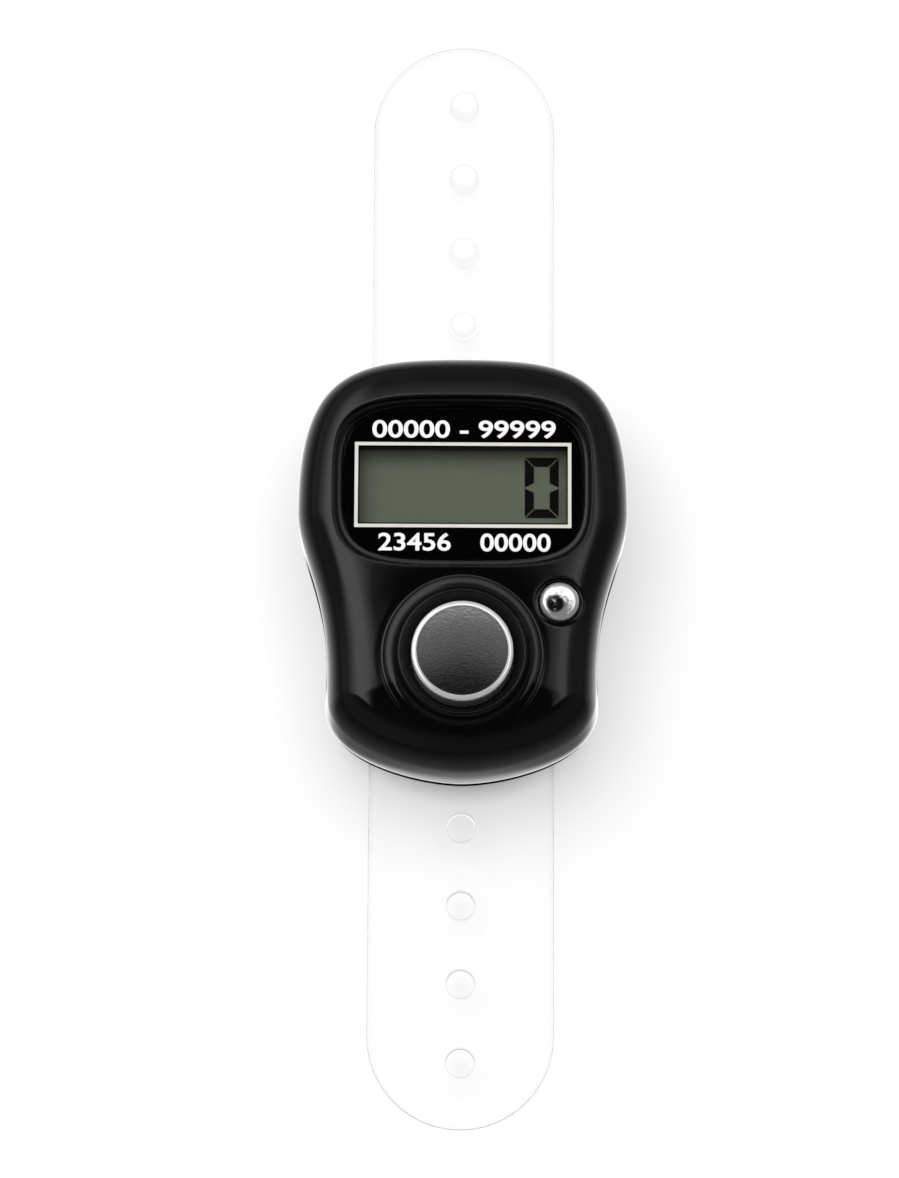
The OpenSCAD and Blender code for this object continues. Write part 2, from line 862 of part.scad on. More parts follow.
module strap_upper() {
  color(clear) {
    strap_end(upper_tip);
    for (i = [0 : peg_count - 1])
      translate([0, upper_tip - tip_to_peg - i * peg_pitch, strap_z + strap_t]) peg();
  }
}

module strap_lower() {
  color(clear)
    rotate(180)
      difference() {
        strap_end(lower_tip);
        for (i = [0 : peg_count - 1])
          translate([0, lower_tip - tip_to_peg - i * peg_pitch, strap_z - over])
            cylinder(d = peg_d - hole_bite, h = strap_t + 2 * over);
      }
}

front_shell();
rear_cover();
window_lens();
window_mask();
window_border();
window_tape();
lcd_front_polariser();
lcd_front_glass();
lcd_seal();
lcd_digit();
lcd_rear_glass();
lcd_reflector();
lcd_holder();
lcd_foam();
zebra_strip();
circuit_board();
contact_pads();
chip_blob();
chip_capacitor();
count_button();
count_rubber();
count_pill();
reset_button();
reset_rubber();
reset_pill();
button_cell();
negative_spring();
positive_spring();
case_screws();
strap_middle();
strap_upper();
strap_lower();
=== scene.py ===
"""Looks of the finger tally counter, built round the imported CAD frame.

Lengths in the shape code are millimetres in the CAD frame, and MM turns them into metres.
+Z is the display side, +Y points to the pegged strap end and +X to the right.
"""

import math

import bmesh
import bpy
import numpy as np
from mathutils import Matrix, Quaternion, Vector
from mathutils.geometry import delaunay_2d_cdt


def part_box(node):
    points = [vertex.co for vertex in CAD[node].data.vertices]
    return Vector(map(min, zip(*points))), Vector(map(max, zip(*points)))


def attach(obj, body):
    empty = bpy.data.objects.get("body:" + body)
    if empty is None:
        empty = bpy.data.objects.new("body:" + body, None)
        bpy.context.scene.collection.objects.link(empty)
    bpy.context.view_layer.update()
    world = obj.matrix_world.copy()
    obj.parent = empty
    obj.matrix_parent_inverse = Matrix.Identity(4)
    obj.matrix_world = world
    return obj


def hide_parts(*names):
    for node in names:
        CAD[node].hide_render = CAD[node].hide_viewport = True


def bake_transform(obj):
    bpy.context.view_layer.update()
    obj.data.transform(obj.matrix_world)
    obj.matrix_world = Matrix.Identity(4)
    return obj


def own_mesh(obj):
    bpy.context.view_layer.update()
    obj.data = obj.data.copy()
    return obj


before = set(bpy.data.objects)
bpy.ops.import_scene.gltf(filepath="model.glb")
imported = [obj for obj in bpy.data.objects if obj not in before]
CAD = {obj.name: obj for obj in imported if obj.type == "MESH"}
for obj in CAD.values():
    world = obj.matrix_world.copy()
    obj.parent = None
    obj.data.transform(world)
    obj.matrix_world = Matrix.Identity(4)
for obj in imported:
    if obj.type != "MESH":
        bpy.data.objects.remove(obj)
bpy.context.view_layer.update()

MM = 0.001
SCENE = bpy.context.scene

# Case, as in the part's source
CASE_L = 38.0
CASE_W = 29.3
NECK_W = 24.0
CHIN_W = 24.2
WIDE_FROM_TOP = 14.0
NECK_FROM_BOTTOM = 10.2
CHIN_FROM_BOTTOM = 7.0
CHIN_FLAT = 0.2
HALF_L = CASE_L / 2
WALL = 1.4
PART_Z = 5.6
ROUND_H = 4.4
ROUND_W = 3.6
ROUND_END = math.radians(78)
DECK_EDGE_Z = 13.5
DECK_EDGE_INSET = ROUND_W * (1 - math.cos(ROUND_END))
ROUND_Z = DECK_EDGE_Z - ROUND_H * math.sin(ROUND_END)
CEILING_Z = 12.2
BOARD_TOP = 8.55

# Window
WINDOW_Y = 6.85
LENS_W = 21.3
LENS_H = 13.9
LENS_POWER = 3.75
LENS_LOW_Z = 12.25
LENS_TOP_Z = 13.2
LEDGE_TOP_Z = 12.0
LEDGE_LOW_Z = 11.1
VIEW_W = 18.3
VIEW_H = 6.9
BORDER_LINE = 0.43

# Buttons
COUNT_Y = -8.8
COUNT_R = 4.45
COUNT_TOP_Z = 15.7
BORE_R = 4.52
RIM_Z = 15.0
RESET_X = 8.5
RESET_Y = -4.0
RESET_R = 1.7
RESET_TOP_Z = 14.25
WELL_R = 2.15
WELL_Z = 12.8
RESET_BORE_R = 1.77
GUIDE_R = 2.5
GUIDE_Z = 10.6

# Strap and screws
STRAP_W = 16.5
STRAP_LOW_Z = 1.45
STRAP_TOP_Z = 2.65
UPPER_TIP = 51.0
LOWER_TIP = 49.0
TIP_TO_PEG = 5.9
PEG_PITCH = 7.0
PEG_COUNT = 4
PEG_R = 1.3
PEG_H = 1.5
HOLE_R = 1.25
SCREW_X = 5.95
SCREW_Y = 14.4
SCREW_PLACES = [(sx * SCREW_X, sy * SCREW_Y) for sx in (-1, 1) for sy in (-1, 1)]
BOSS_R = 1.8
LOW_POST_R = 1.4

# A profile's radius below which it ends in a pole
POLE_R = 1e-6
# Points closer than this many metres are one
WELD = 1e-7
# A line's length over the most that a corner's rounding takes of it
CORNER_SHARE = 2.2
# Least distance of a net's inner points from its border and from its holes, in net widths
BORDER_GAP = 0.6
HOLE_GAP = 0.45


# Small tools for curves and closed skins

def smooth(t):
    """0 below 0, 1 above 1 and a soft S between."""
    t = np.clip(t, 0.0, 1.0)
    return t * t * (3 - 2 * t)


def cubic(p, t):
    """Points of a cubic curve with the four handles p."""
    p, t = np.asarray(p, float), np.asarray(t, float)[:, None]
    u = 1 - t
    return u ** 3 * p[0] + 3 * u * u * t * p[1] + 3 * u * t * t * p[2] + t ** 3 * p[3]


def even(points, count, closed=True):
    """The same line with count evenly spaced points."""
    line = np.vstack([points, points[:1]]) if closed else np.asarray(points, float)
    along = np.r_[0, np.cumsum(np.linalg.norm(np.diff(line, axis=0), axis=1))]
    places = np.linspace(0, along[-1], count + 1)[:-1] if closed else np.linspace(0, along[-1], count)
    return np.stack([np.interp(places, along, line[:, k]) for k in range(line.shape[1])], axis=1)


def circle(r, centre, count):
    a = np.linspace(0, 2 * math.pi, count, endpoint=False)
    return np.stack([centre[0] + r * np.cos(a), centre[1] + r * np.sin(a)], axis=1)


def quarter(count):
    """Angles over a quarter turn."""
    return np.linspace(0, math.pi / 2, count)


def rectangle(low, high, cut=0.0):
    """Corners of a box's plan, drawn in by cut."""
    return [(low[0] + cut, low[1] + cut), (high[0] - cut, low[1] + cut),
            (high[0] - cut, high[1] - cut), (low[0] + cut, high[1] - cut)]


def soften(profile, radius, steps=4):
    """A bent line with each inner corner rounded off."""
    line = [np.asarray(p, float) for p in profile]
    out = [line[0]]
    for before, here, after in zip(line, line[1:], line[2:]):
        back, on = before - here, after - here
        reach = min(radius, np.linalg.norm(back) / CORNER_SHARE, np.linalg.norm(on) / CORNER_SHARE)
        a, b = here + back / np.linalg.norm(back) * reach, here + on / np.linalg.norm(on) * reach
        for t in np.linspace(0, 1, steps + 1):
            out.append((1 - t) ** 2 * a + 2 * (1 - t) * t * here + t * t * b)
    out.append(line[-1])
    return np.array(out)


def inside(points, loop):
    """Which plan points lie inside a closed loop."""
    x, y = points[:, 0], points[:, 1]
    hit = np.zeros(len(points), bool)
    for (x0, y0), (x1, y1) in zip(loop, np.roll(loop, -1, axis=0)):
        if y0 != y1:
            crosses = (y0 > y) != (y1 > y)
            hit ^= crosses & (x < (x1 - x0) * (y - y0) / (y1 - y0) + x0)
    return hit


def loop_distance(points, loop):
    """Distance of plan points from a closed loop's line."""
    best = np.full(len(points), np.inf)
    for a, b in zip(loop, np.roll(loop, -1, axis=0)):
        d = b - a
        t = np.clip((points - a) @ d / (d @ d), 0, 1)
        best = np.minimum(best, np.linalg.norm(points - a - t[:, None] * d, axis=1))
    return best


class Skin:
    """The points and faces of one closed piece, gathered ring by ring."""

    def __init__(self):
        self.points = []
        self.faces = []

    def ring(self, plan, z):
        """Adds a loop of plan points at one height, or at a height each."""
        start = len(self.points)
        for (x, y), h in zip(plan, np.broadcast_to(z, len(plan))):
            self.points.append((float(x), float(y), float(h)))
        return list(range(start, len(self.points)))

    def wall(self, *rings):
        """Joins each ring with the next."""
        for a, b in zip(rings, rings[1:]):
            for i in range(len(a)):
                j = (i + 1) % len(a)
                self.faces.append((a[i], a[j], b[j], b[i]))

    def pole(self, ring, point):
        """Closes a ring with a fan to one point."""
        self.points.append(tuple(float(v) for v in point))
        tip = len(self.points) - 1
        for i in range(len(ring)):
            self.faces.append((ring[i], ring[(i + 1) % len(ring)], tip))

    def cap(self, *rings):
        self.faces += [tuple(ring) for ring in rings]

    def closed(self, rings):
        """Joins the rings, and caps the first and the last."""
        self.wall(*rings)
        self.cap(rings[0], rings[-1])

    def sheet(self, border, holes, spacing, height, steps=()):
        """Fills between a border ring and hole rings with a net of triangles lifted to height.

        steps are plan loops, from the border inwards, whose points come before the even net.
        """
        plan = np.array(self.points)[:, :2]
        loops = [plan[border]] + [plan[h] for h in holes]
        inner = steps[-1] if len(steps) else loops[0]
        low, high = inner.min(0), inner.max(0)
        rows = np.arange(low[1], high[1], spacing * math.sqrt(3) / 2)
        net = np.array([
            (x + (k % 2) * spacing / 2, y)
            for k, y in enumerate(rows) for x in np.arange(low[0], high[0], spacing)
        ])
        net = net[inside(net, inner)]
        net = net[loop_distance(net, inner) > BORDER_GAP * spacing]
        net = np.vstack([*steps, net])
        for loop in loops[1:]:
            net = net[~inside(net, loop)]
            net = net[loop_distance(net, loop) > HOLE_GAP * spacing]
        known = border + [i for h in holes for i in h]
        edges, start = [], 0
        for loop in loops:
            edges += [(start + i, start + (i + 1) % len(loop)) for i in range(len(loop))]
            start += len(loop)
        flat = [Vector(p) for p in np.vstack([plan[known], net])]
        points, _, faces, origin, _, _ = delaunay_2d_cdt(flat, edges, [], 0, 1e-7, True)
        index = known + self.ring(net, height(net))
        middle = np.array([np.mean([points[i] for i in f], axis=0) for f in faces])
        keep = inside(middle, loops[0])
        for loop in loops[1:]:
            keep &= ~inside(middle, loop)
        for f, wanted in zip(faces, keep):
            if wanted:
                self.faces.append(tuple(index[origin[i][0]] for i in f))

    def mesh(self, name):
        """The bare mesh, in metres."""
        made = bpy.data.meshes.new(name)
        made.from_pydata([tuple(v * MM for v in p) for p in self.points], [], self.faces)
        return made

    def piece(self, name, finish, sharp=35.0):
        """The finished mesh as an object at the origin, with its faces outwards."""
        return settle(name, self.mesh(name), finish, sharp)


def put(name, data):
    """A new object in the scene."""
    made = bpy.data.objects.new(name, data)
    SCENE.collection.objects.link(made)
    return made


def settle(name, mesh, finish, sharp=35.0):
    """Merges a mesh's doubles, turns its faces outwards, shades it smooth and puts it in the scene."""
    bm = bmesh.new()
    bm.from_mesh(mesh)
    bmesh.ops.remove_doubles(bm, verts=bm.verts, dist=WELD)
    bmesh.ops.recalc_face_normals(bm, faces=bm.faces)
    bm.to_mesh(mesh)
    bm.free()
    for face in mesh.polygons:
        face.use_smooth = True
    mesh.set_sharp_from_angle(angle=math.radians(sharp))
    mesh.materials.clear()
    if finish is not None:
        mesh.materials.append(finish)
    return put(name, mesh)


def second_finish(piece, finish, wanted):
    """Gives a second finish to the faces whose middle, in millimetres, is wanted."""
    piece.data.materials.append(finish)
    for face in piece.data.polygons:
        if wanted(face.center / MM):
            face.material_index = 1


def turned(name, profile, centre, finish, steps=96, sharp=35.0):
    """A round piece from its profile of radius and height, from its lower pole to its upper one."""
    skin = Skin()
    rings = [skin.ring(circle(r, centre, steps), z) for r, z in profile if r > POLE_R]
    skin.wall(*rings)
    for ring, (_, z) in ((rings[0], profile[0]), (rings[-1], profile[-1])):
        skin.pole(ring, (centre[0], centre[1], z))
    return skin.piece(name, finish, sharp)


def mesh_of(source):
    """The mesh that an object and its modifiers make; the object goes."""
    bpy.context.view_layer.update()
    graph = bpy.context.evaluated_depsgraph_get()
    mesh = bpy.data.meshes.new_from_object(source.evaluated_get(graph))
    bpy.data.objects.remove(source)
    return mesh


def carve(base, tools, name, finish, sharp=35.0):
    """Adds or cuts each tool, a pair of operation and piece, in turn."""
    for operation, tool in tools:
        step = base.modifiers.new("carve", "BOOLEAN")
        step.operation = operation
        step.solver = "EXACT"
        step.object = tool
    made = settle(name, mesh_of(base), finish, sharp)
    for _, tool in tools:
        bpy.data.objects.remove(tool)
    return made


def prism(name, plan, low, high):
    skin = Skin()
    skin.closed([skin.ring(plan, low), skin.ring(plan, high)])
    return skin.piece(name, None)


def slab(name, x, y, z):
    return prism(name, rectangle((x[0], y[0]), (x[1], y[1])), *z)


def rod(name, r, centre, low, high, count=48):
    return prism(name, circle(r, centre, count), low, high)


def joined(name, meshes):
    """Several meshes as one; the given ones go, and the objects that hold them."""
    whole = bpy.data.meshes.new(name)
    bm = bmesh.new()
    for mesh in meshes:
        bm.from_mesh(mesh)
        bpy.data.meshes.remove(mesh)
    bm.to_mesh(whole)
    bm.free()
    return whole


def together(name, pieces):
    return settle(name, joined(name, [piece.data for piece in pieces]), None)


# The case outline: four curves down the right side, mirrored to the left

def case_outline(count):
    """Points anticlockwise from the bottom centre, and their outward directions."""
    wide_y = HALF_L - WIDE_FROM_TOP
    neck_y = NECK_FROM_BOTTOM - HALF_L
    chin_y = CHIN_FROM_BOTTOM - HALF_L
    low_y = CHIN_FLAT - HALF_L
    wide, neck, chin = CASE_W / 2, NECK_W / 2, CHIN_W / 2
    curves = [
        [(0, HALF_L), (CASE_W * 0.343, HALF_L), (wide, wide_y + WIDE_FROM_TOP * 0.914), (wide, wide_y)],
        [(wide, wide_y), (wide, wide_y - 3.6), (neck, neck_y + 6.4), (neck, neck_y)],
        [(neck, neck_y), (neck, neck_y - 1), (chin, chin_y + 1), (chin, chin_y)],
        [(chin, chin_y), (chin, chin_y - CHIN_W * 0.202), (CHIN_W * 0.15, low_y), (0, low_y)],
    ]
    t = np.linspace(0, 1, 240, endpoint=False)
    dense = np.vstack([cubic(c, t) for c in curves] + [[(0, low_y)]])
    right = even(dense, count // 2 + 1, closed=False)
    loop = np.vstack([right[::-1], right[1:-1] * [-1, 1]])
    along = np.roll(loop, -1, axis=0) - np.roll(loop, 1, axis=0)
    normal = np.stack([along[:, 1], -along[:, 0]], axis=1)
    return loop, normal / np.linalg.norm(normal, axis=1)[:, None]


OUTLINE, OUTWARD = case_outline(320)


def inset(d):
    return OUTLINE - d * OUTWARD


LEAN = 0.5
LEAN_H = 5.5
LEAN_FROM_Y = -6.0
LEAN_RUN = 10.0


def lean(y):
    """How far the case's wall leans back at its lower end, above the parting line."""
    return LEAN * smooth((LEAN_FROM_Y - y) / LEAN_RUN)


def leaning(d, z):
    """The outline moved in by d and by the wall's lean at a height."""
    total = np.full(len(OUTLINE), float(d))
    for _ in range(8):
        y = OUTLINE[:, 1] - OUTWARD[:, 1] * total
        total = d + lean(y) * smooth((z - PART_Z) / LEAN_H)
    return OUTLINE - OUTWARD * total[:, None]


def window_loop(grow, count=220):
    """The window's outline: a rectangle with round corners and gently bowed sides."""
    a = np.linspace(0, 2 * math.pi, 2400, endpoint=False)
    c, s = np.cos(a), np.sin(a)
    x = (LENS_W / 2 + grow) * np.sign(c) * np.abs(c) ** (2 / LENS_POWER)
    y = (LENS_H / 2 + grow) * np.sign(s) * np.abs(s) ** (2 / LENS_POWER)
    return even(np.stack([x, WINDOW_Y + y], axis=1), count)


def view_loop(grow, corner, count):
    """The display opening with small round corners, starting at its right side."""
    w, h = VIEW_W / 2 + grow - corner, VIEW_H / 2 + grow - corner
    a = np.linspace(0, 2 * math.pi, 4 * 24, endpoint=False) + math.pi / 192
    x = np.sign(np.cos(a)) * w + corner * np.cos(a)
    y = np.sign(np.sin(a)) * h + corner * np.sin(a)
    right_middle = np.array([[w + corner, WINDOW_Y]])
    return even(np.vstack([right_middle, np.stack([x, WINDOW_Y + y], axis=1)]), count)


# Finishes

STEEPNESS = "steepness"
PREFIX = {"ShaderNodeTree": "ShaderNode", "GeometryNodeTree": "GeometryNode"}
# Places of the two inputs and of the output of a mix, by kind
MIX_SOCKETS = {"RGBA": (6, 7, 2), "FLOAT": (2, 3, 0)}
BUMP_DEPTH = 0.00005
SEE_THROUGH = 64.0


def feed(tree, socket, value):
    """Links an output, or a node's first output, to a socket, or gives it a plain value."""
    if isinstance(value, bpy.types.Node):
        value = value.outputs[0]
    if isinstance(value, bpy.types.NodeSocket):
        tree.links.new(value, socket)
    else:
        socket.default_value = (*value, 1) if socket.type == "RGBA" else value


def node(tree, kind, *inputs, **values):
    """A new node with its settings, and its inputs by place or by name with _ for a space."""
    made = tree.nodes.new(PREFIX[tree.bl_idname] + kind)
    for key, value in values.items():
        if hasattr(made, key):
            setattr(made, key, value)
        else:
            feed(tree, made.inputs[key.replace("_", " ")], value)
    for socket, value in zip(made.inputs, inputs):
        feed(tree, socket, value)
    return made


def mixed(tree, share, first, second, kind="RGBA"):
    """Two colours or numbers, given or from other nodes, mixed by a share."""
    made = node(tree, "Mix", share, data_type=kind)
    a, b, out = MIX_SOCKETS[kind]
    feed(tree, made.inputs[a], first)
    feed(tree, made.inputs[b], second)
    return made.outputs[out]


def ranged(tree, value, low, high, first=0.0, last=1.0, kind="LINEAR"):
    """Runs from first to last while a value runs from low to high."""
    return node(tree, "MapRange", value, low, high, first, last, interpolation_type=kind)


def soft_step(tree, value, low, high, first=0.0, last=1.0):
    return ranged(tree, value, low, high, first, last, "SMOOTHSTEP")


def maths(tree, operation, *inputs, clamp=False):
    return node(tree, "Math", *inputs, operation=operation, use_clamp=clamp)


def piece_place(tree):
    return node(tree, "TexCoord").outputs["Object"]


def flat_reach(tree, where, scale):
    """Distance in plan, with X and Y scaled."""
    level = node(tree, "VectorMath", where, (*scale, 0), operation="MULTIPLY")
    return node(tree, "VectorMath", level, operation="LENGTH").outputs["Value"]


def shader_tree(name):
    """A new material, with its node tree and its main shader."""
    material = bpy.data.materials.new(name)
    material.use_nodes = True
    tree = material.node_tree
    return material, tree, tree.nodes["Principled BSDF"]


def show(tree, surface):
    feed(tree, tree.nodes["Material Output"].inputs["Surface"], surface)


def plain_finish(name, colour, rough, scale=900.0, bump=0.0, bump_scale=4000.0, shade=0.0, **sockets):
    """A procedural finish: roughness and colour wander with one noise, a second one gives a fine bump."""
    material, tree, shader = shader_tree(name)
    where = piece_place(tree)
    wander = node(tree, "TexNoise", where, Scale=scale, Detail=5.0)
    spread = ranged(tree, wander, 0.3, 0.7, *rough)
    feed(tree, shader.inputs["Roughness"], spread)
    feed(tree, shader.inputs["Base Color"], colour)
    if shade:
        darker = [c * (1 - shade) for c in colour]
        feed(tree, shader.inputs["Base Color"], mixed(tree, wander, colour, darker))
    if bump:
        grain = node(tree, "TexNoise", where, Scale=bump_scale, Detail=3.0)
        raised = node(tree, "Bump", Strength=bump, Distance=BUMP_DEPTH, Height=grain)
        feed(tree, shader.inputs["Normal"], raised)
    for key, value in sockets.items():
        feed(tree, shader.inputs[key.replace("_", " ")], value)
    return material


def matt_by_height(material, low, high, level):
    """Takes the sheen from a finish between two heights of its piece."""
    tree = material.node_tree
    height = node(tree, "SeparateXYZ", piece_place(tree)).outputs["Z"]
    fade = ranged(tree, height, low, high, level, 0.0)
    feed(tree, tree.nodes["Principled BSDF"].inputs["Specular IOR Level"], fade)


def painted_reflection_patch(material, centre, full, none, dark):
    """Paints a dark reflection into a finish's colour: blotches darkened round an upright axis, out to a
    radius.
    """
    tree = material.node_tree
    colour = tree.nodes["Principled BSDF"].inputs["Base Color"]
    where = piece_place(tree)
    away = node(tree, "VectorMath", where, (centre[0] * MM, centre[1] * MM, 0), operation="SUBTRACT")
    near = soft_step(tree, flat_reach(tree, away, (1, 1)), full * MM, none * MM, 1.0, 0.0)
    blotch = node(tree, "TexNoise", where, Scale=1900.0, Detail=4.0, Roughness=0.7)
    cut = ranged(tree, blotch, 0.34, 0.44)
    share = maths(tree, "MULTIPLY", near, cut)
    feed(tree, colour, mixed(tree, share, colour.default_value[:3], dark))


def steep_mix(tree, flat, steep):
    """Colour by the piece's own face steepness, from its flat faces to its upright ones."""
    given = node(tree, "Attribute", attribute_name=STEEPNESS)
    return mixed(tree, given.outputs["Fac"], flat, steep)


def mirrored_ray(tree, rays):
    """One for what a glossy surface mirrors, unless clear pieces were passed before."""
    passed = maths(tree, "MULTIPLY", rays["Transmission Depth"], SEE_THROUGH)
    return maths(tree, "SUBTRACT", rays["Glossy Depth"], passed, clamp=True)


def clear_finish(name, colour, rough, ior, shadow, edge=None, edge_shadow=None):
    """Clear plastic or glass that lets lamp light through without a hard shadow.

    Where edge is given, upright faces take that colour, a painted shade for the dark lines at clear edges,
    and edge_shadow in the light let through.
    """
    material = plain_finish(name, colour, rough, bump=0.02, bump_scale=300.0,
                            Transmission_Weight=1.0, IOR=ior)
    tree = material.node_tree
    shader = tree.nodes["Principled BSDF"]
    through = node(tree, "BsdfTransparent", shadow)
    if edge is not None:
        feed(tree, shader.inputs["Base Color"], steep_mix(tree, colour, edge))
        feed(tree, through.inputs["Color"], steep_mix(tree, shadow, edge_shadow))
    rays = node(tree, "LightPath").outputs
    either = maths(tree, "ADD", rays["Is Shadow Ray"], rays["Is Diffuse Ray"], clamp=True)
    seen = node(tree, "MixShader", either, shader, through)
    show(tree, node(tree, "MixShader", mirrored_ray(tree, rays), seen, node(tree, "BsdfTransparent")))
    return material


GLOSS_BLACK = plain_finish("gloss_black_case", (0.0014, 0.0014, 0.0016), (0.045, 0.085), scale=260.0,
                           bump=0.02, bump_scale=5200.0)
SATIN_BLACK = plain_finish("satin_black_cover", (0.004, 0.004, 0.0044), (0.40, 0.52), scale=700.0,
                           bump=0.35, bump_scale=3600.0)
matt_by_height(SATIN_BLACK, 0.0012, 0.0028, 0.3)
CHROME_TOP = plain_finish("chrome_grained", (0.60, 0.60, 0.615), (0.07, 0.13), scale=2600.0,
                          bump=0.11, bump_scale=4600.0, Metallic=1.0)
CHROME_RING = plain_finish("chrome_polished", (0.95, 0.94, 0.93), (0.04, 0.08), scale=1200.0,
                           bump=0.12, bump_scale=1500.0, Metallic=0.58)
CHROME_DOME = plain_finish("chrome_hammered", (0.95, 0.95, 0.95), (0.03, 0.06), scale=1200.0,
                           bump=0.4, bump_scale=2600.0, Metallic=0.8)
# Painted reflection: the dome's colour is darkened in blotches near its crown, standing in for the dark
# overhead that the crown mirrors
painted_reflection_patch(CHROME_DOME, (RESET_X - 0.35, RESET_Y - 0.25), 0.62, 0.95, (0.02, 0.02, 0.021))
# The strap's upright faces are painted grey: painted shade that draws its rims, pegs and holes as dark lines
STRAP_CLEAR = clear_finish("clear_strap", (1.0, 1.0, 1.0), (0.03, 0.06), 1.16, (0.999, 0.999, 0.999),
                           edge=(0.78, 0.78, 0.78), edge_shadow=(0.5, 0.5, 0.5))
LENS_CLEAR = clear_finish("clear_lens", (1.0, 1.0, 1.0), (0.015, 0.03), 1.1, (0.99, 0.99, 0.99))
PRINT_WHITE = plain_finish("white_print", (0.88, 0.88, 0.87), (0.45, 0.6), bump=0.1, shade=0.06,
                           Specular_IOR_Level=0.1)
# Black print, also used as the painted shadow line inside the display's silver border
BLACK_PRINT_AND_SHADOW = plain_finish("black_print_and_shadow", (0.0006, 0.0006, 0.0007), (0.4, 0.55), bump=0.05,
                           Specular_IOR_Level=0.0)
PRINT_SILVER = plain_finish("silver_print", (0.80, 0.78, 0.73), (0.35, 0.5), bump=0.1, shade=0.16,
                            Metallic=0.3)
TAPE = plain_finish("black_tape", (0.006, 0.006, 0.0065), (0.6, 0.75), bump=0.2, Specular_IOR_Level=0.1)
DISPLAY_FRONT = plain_finish("display_film", (0.03, 0.032, 0.025), (0.35, 0.45), Alpha=0.03)
DISPLAY_BACK = plain_finish("display_back", (0.108, 0.118, 0.090), (0.45, 0.6), scale=3000.0, bump=0.15,
                            bump_scale=9000.0, shade=0.10, Specular_IOR_Level=0.1)
DISPLAY_INK = plain_finish("display_ink", (0.0008, 0.0009, 0.0008), (0.5, 0.6), shade=0.2,
                           Specular_IOR_Level=0.0)
SEAL = plain_finish("display_seal", (0.05, 0.052, 0.045), (0.5, 0.65), shade=0.15)
HOLDER = plain_finish("white_holder", (0.78, 0.78, 0.76), (0.4, 0.5), bump=0.15, shade=0.05)
FOAM = plain_finish("white_foam", (0.72, 0.72, 0.69), (0.8, 0.95), bump=0.8, bump_scale=2500.0, shade=0.15)
BOARD = plain_finish("green_board", (0.015, 0.09, 0.035), (0.3, 0.42), bump=0.25, bump_scale=2200.0,
                     shade=0.25)
GOLD = plain_finish("gold_pads", (0.83, 0.60, 0.22), (0.18, 0.3), Metallic=1.0, bump=0.1)
RESIN = plain_finish("black_resin", (0.010, 0.010, 0.011), (0.18, 0.3), bump=0.3, bump_scale=700.0)
CERAMIC = plain_finish("tan_ceramic", (0.44, 0.31, 0.19), (0.45, 0.6), bump=0.2, shade=0.2)
KEY_RUBBER = plain_finish("grey_rubber", (0.10, 0.10, 0.105), (0.55, 0.7), bump=0.25, shade=0.15)
CARBON = plain_finish("carbon_pill", (0.012, 0.012, 0.012), (0.6, 0.8), bump=0.4, shade=0.3)
CELL_STEEL = plain_finish("cell_steel", (0.62, 0.62, 0.63), (0.2, 0.32), Metallic=1.0, bump=0.15, shade=0.08)
SPRING = plain_finish("spring_metal", (0.72, 0.58, 0.30), (0.22, 0.35), Metallic=1.0, bump=0.1, shade=0.1)
SCREW_STEEL = plain_finish("screw_steel", (0.55, 0.55, 0.57), (0.22, 0.36), Metallic=1.0, bump=0.2,
                           shade=0.12)


def striped_finish(name, dark, light, pitch):
    """Layers of two rubbers along X."""
    material = plain_finish(name, dark, (0.5, 0.65), bump=0.1)
    tree = material.node_tree
    stripes = node(tree, "TexWave", piece_place(tree), wave_type="BANDS", bands_direction="X",
                   Scale=1 / (pitch * MM) / 20, Distortion=0.0)
    feed(tree, tree.nodes["Principled BSDF"].inputs["Base Color"],
         mixed(tree, stripes.outputs["Fac"], dark, light))
    return material


ZEBRA = striped_finish("layered_rubber", (0.015, 0.015, 0.016), (0.7, 0.7, 0.68), 0.18)

for name, finish in {
    "window_mask": BLACK_PRINT_AND_SHADOW, "window_tape": TAPE,
    "lcd_seal": SEAL, "lcd_digit": DISPLAY_INK,
    "lcd_holder": HOLDER, "lcd_foam": FOAM, "zebra_strip": ZEBRA,
    "circuit_board": BOARD, "contact_pads": GOLD, "chip_capacitor": CERAMIC,
    "count_pill": CARBON, "reset_pill": CARBON, "button_cell": CELL_STEEL,
    "negative_spring": SPRING, "positive_spring": SPRING,
}.items():
    for place in CAD[name].material_slots:
        place.material = finish


# Front case: rounded edge, domed deck, window recess, collar and reset well

DECK_SLOPE = ROUND_H * math.cos(ROUND_END) / (ROUND_W * math.sin(ROUND_END))
DECK_SPREAD = 3.6
STEP_FROM_Y = -0.6
STEP_RUN = 4.6
STEP_DROP = 0.32
STEP_SPREAD = 8.0
GROOVE_R = 7.12
GROOVE_W = 0.22
GROOVE_DEPTH = 0.065
GROOVE_RISE = 0.6
FINE_OUTLINE = case_outline(1200)[0]


def deck_height(plan):
    """Height of the front: a rounded edge and a deck that flattens inwards.

    The deck is lower below the window, and a shallow groove runs round the collar's foot.
    """
    plan = np.asarray(plan, float)
    d = np.maximum(loop_distance(plan, FINE_OUTLINE) - lean(plan[:, 1]), 0)
    edge = ROUND_Z + ROUND_H * np.sqrt(1 - (1 - np.minimum(d, DECK_EDGE_INSET) / ROUND_W) ** 2)
    u = np.maximum(d - DECK_EDGE_INSET, 0)
    rise = DECK_SLOPE * DECK_SPREAD * (1 - np.exp(-u / DECK_SPREAD))
    lower = STEP_DROP * smooth((STEP_FROM_Y - plan[:, 1]) / STEP_RUN) * smooth(u / STEP_SPREAD)
    r = np.linalg.norm(plan - [0, COUNT_Y], axis=1)
    groove = GROOVE_DEPTH * np.exp(-((r - GROOVE_R) / GROOVE_W) ** 2) * smooth(u / GROOVE_RISE)
    return edge + rise - lower - groove


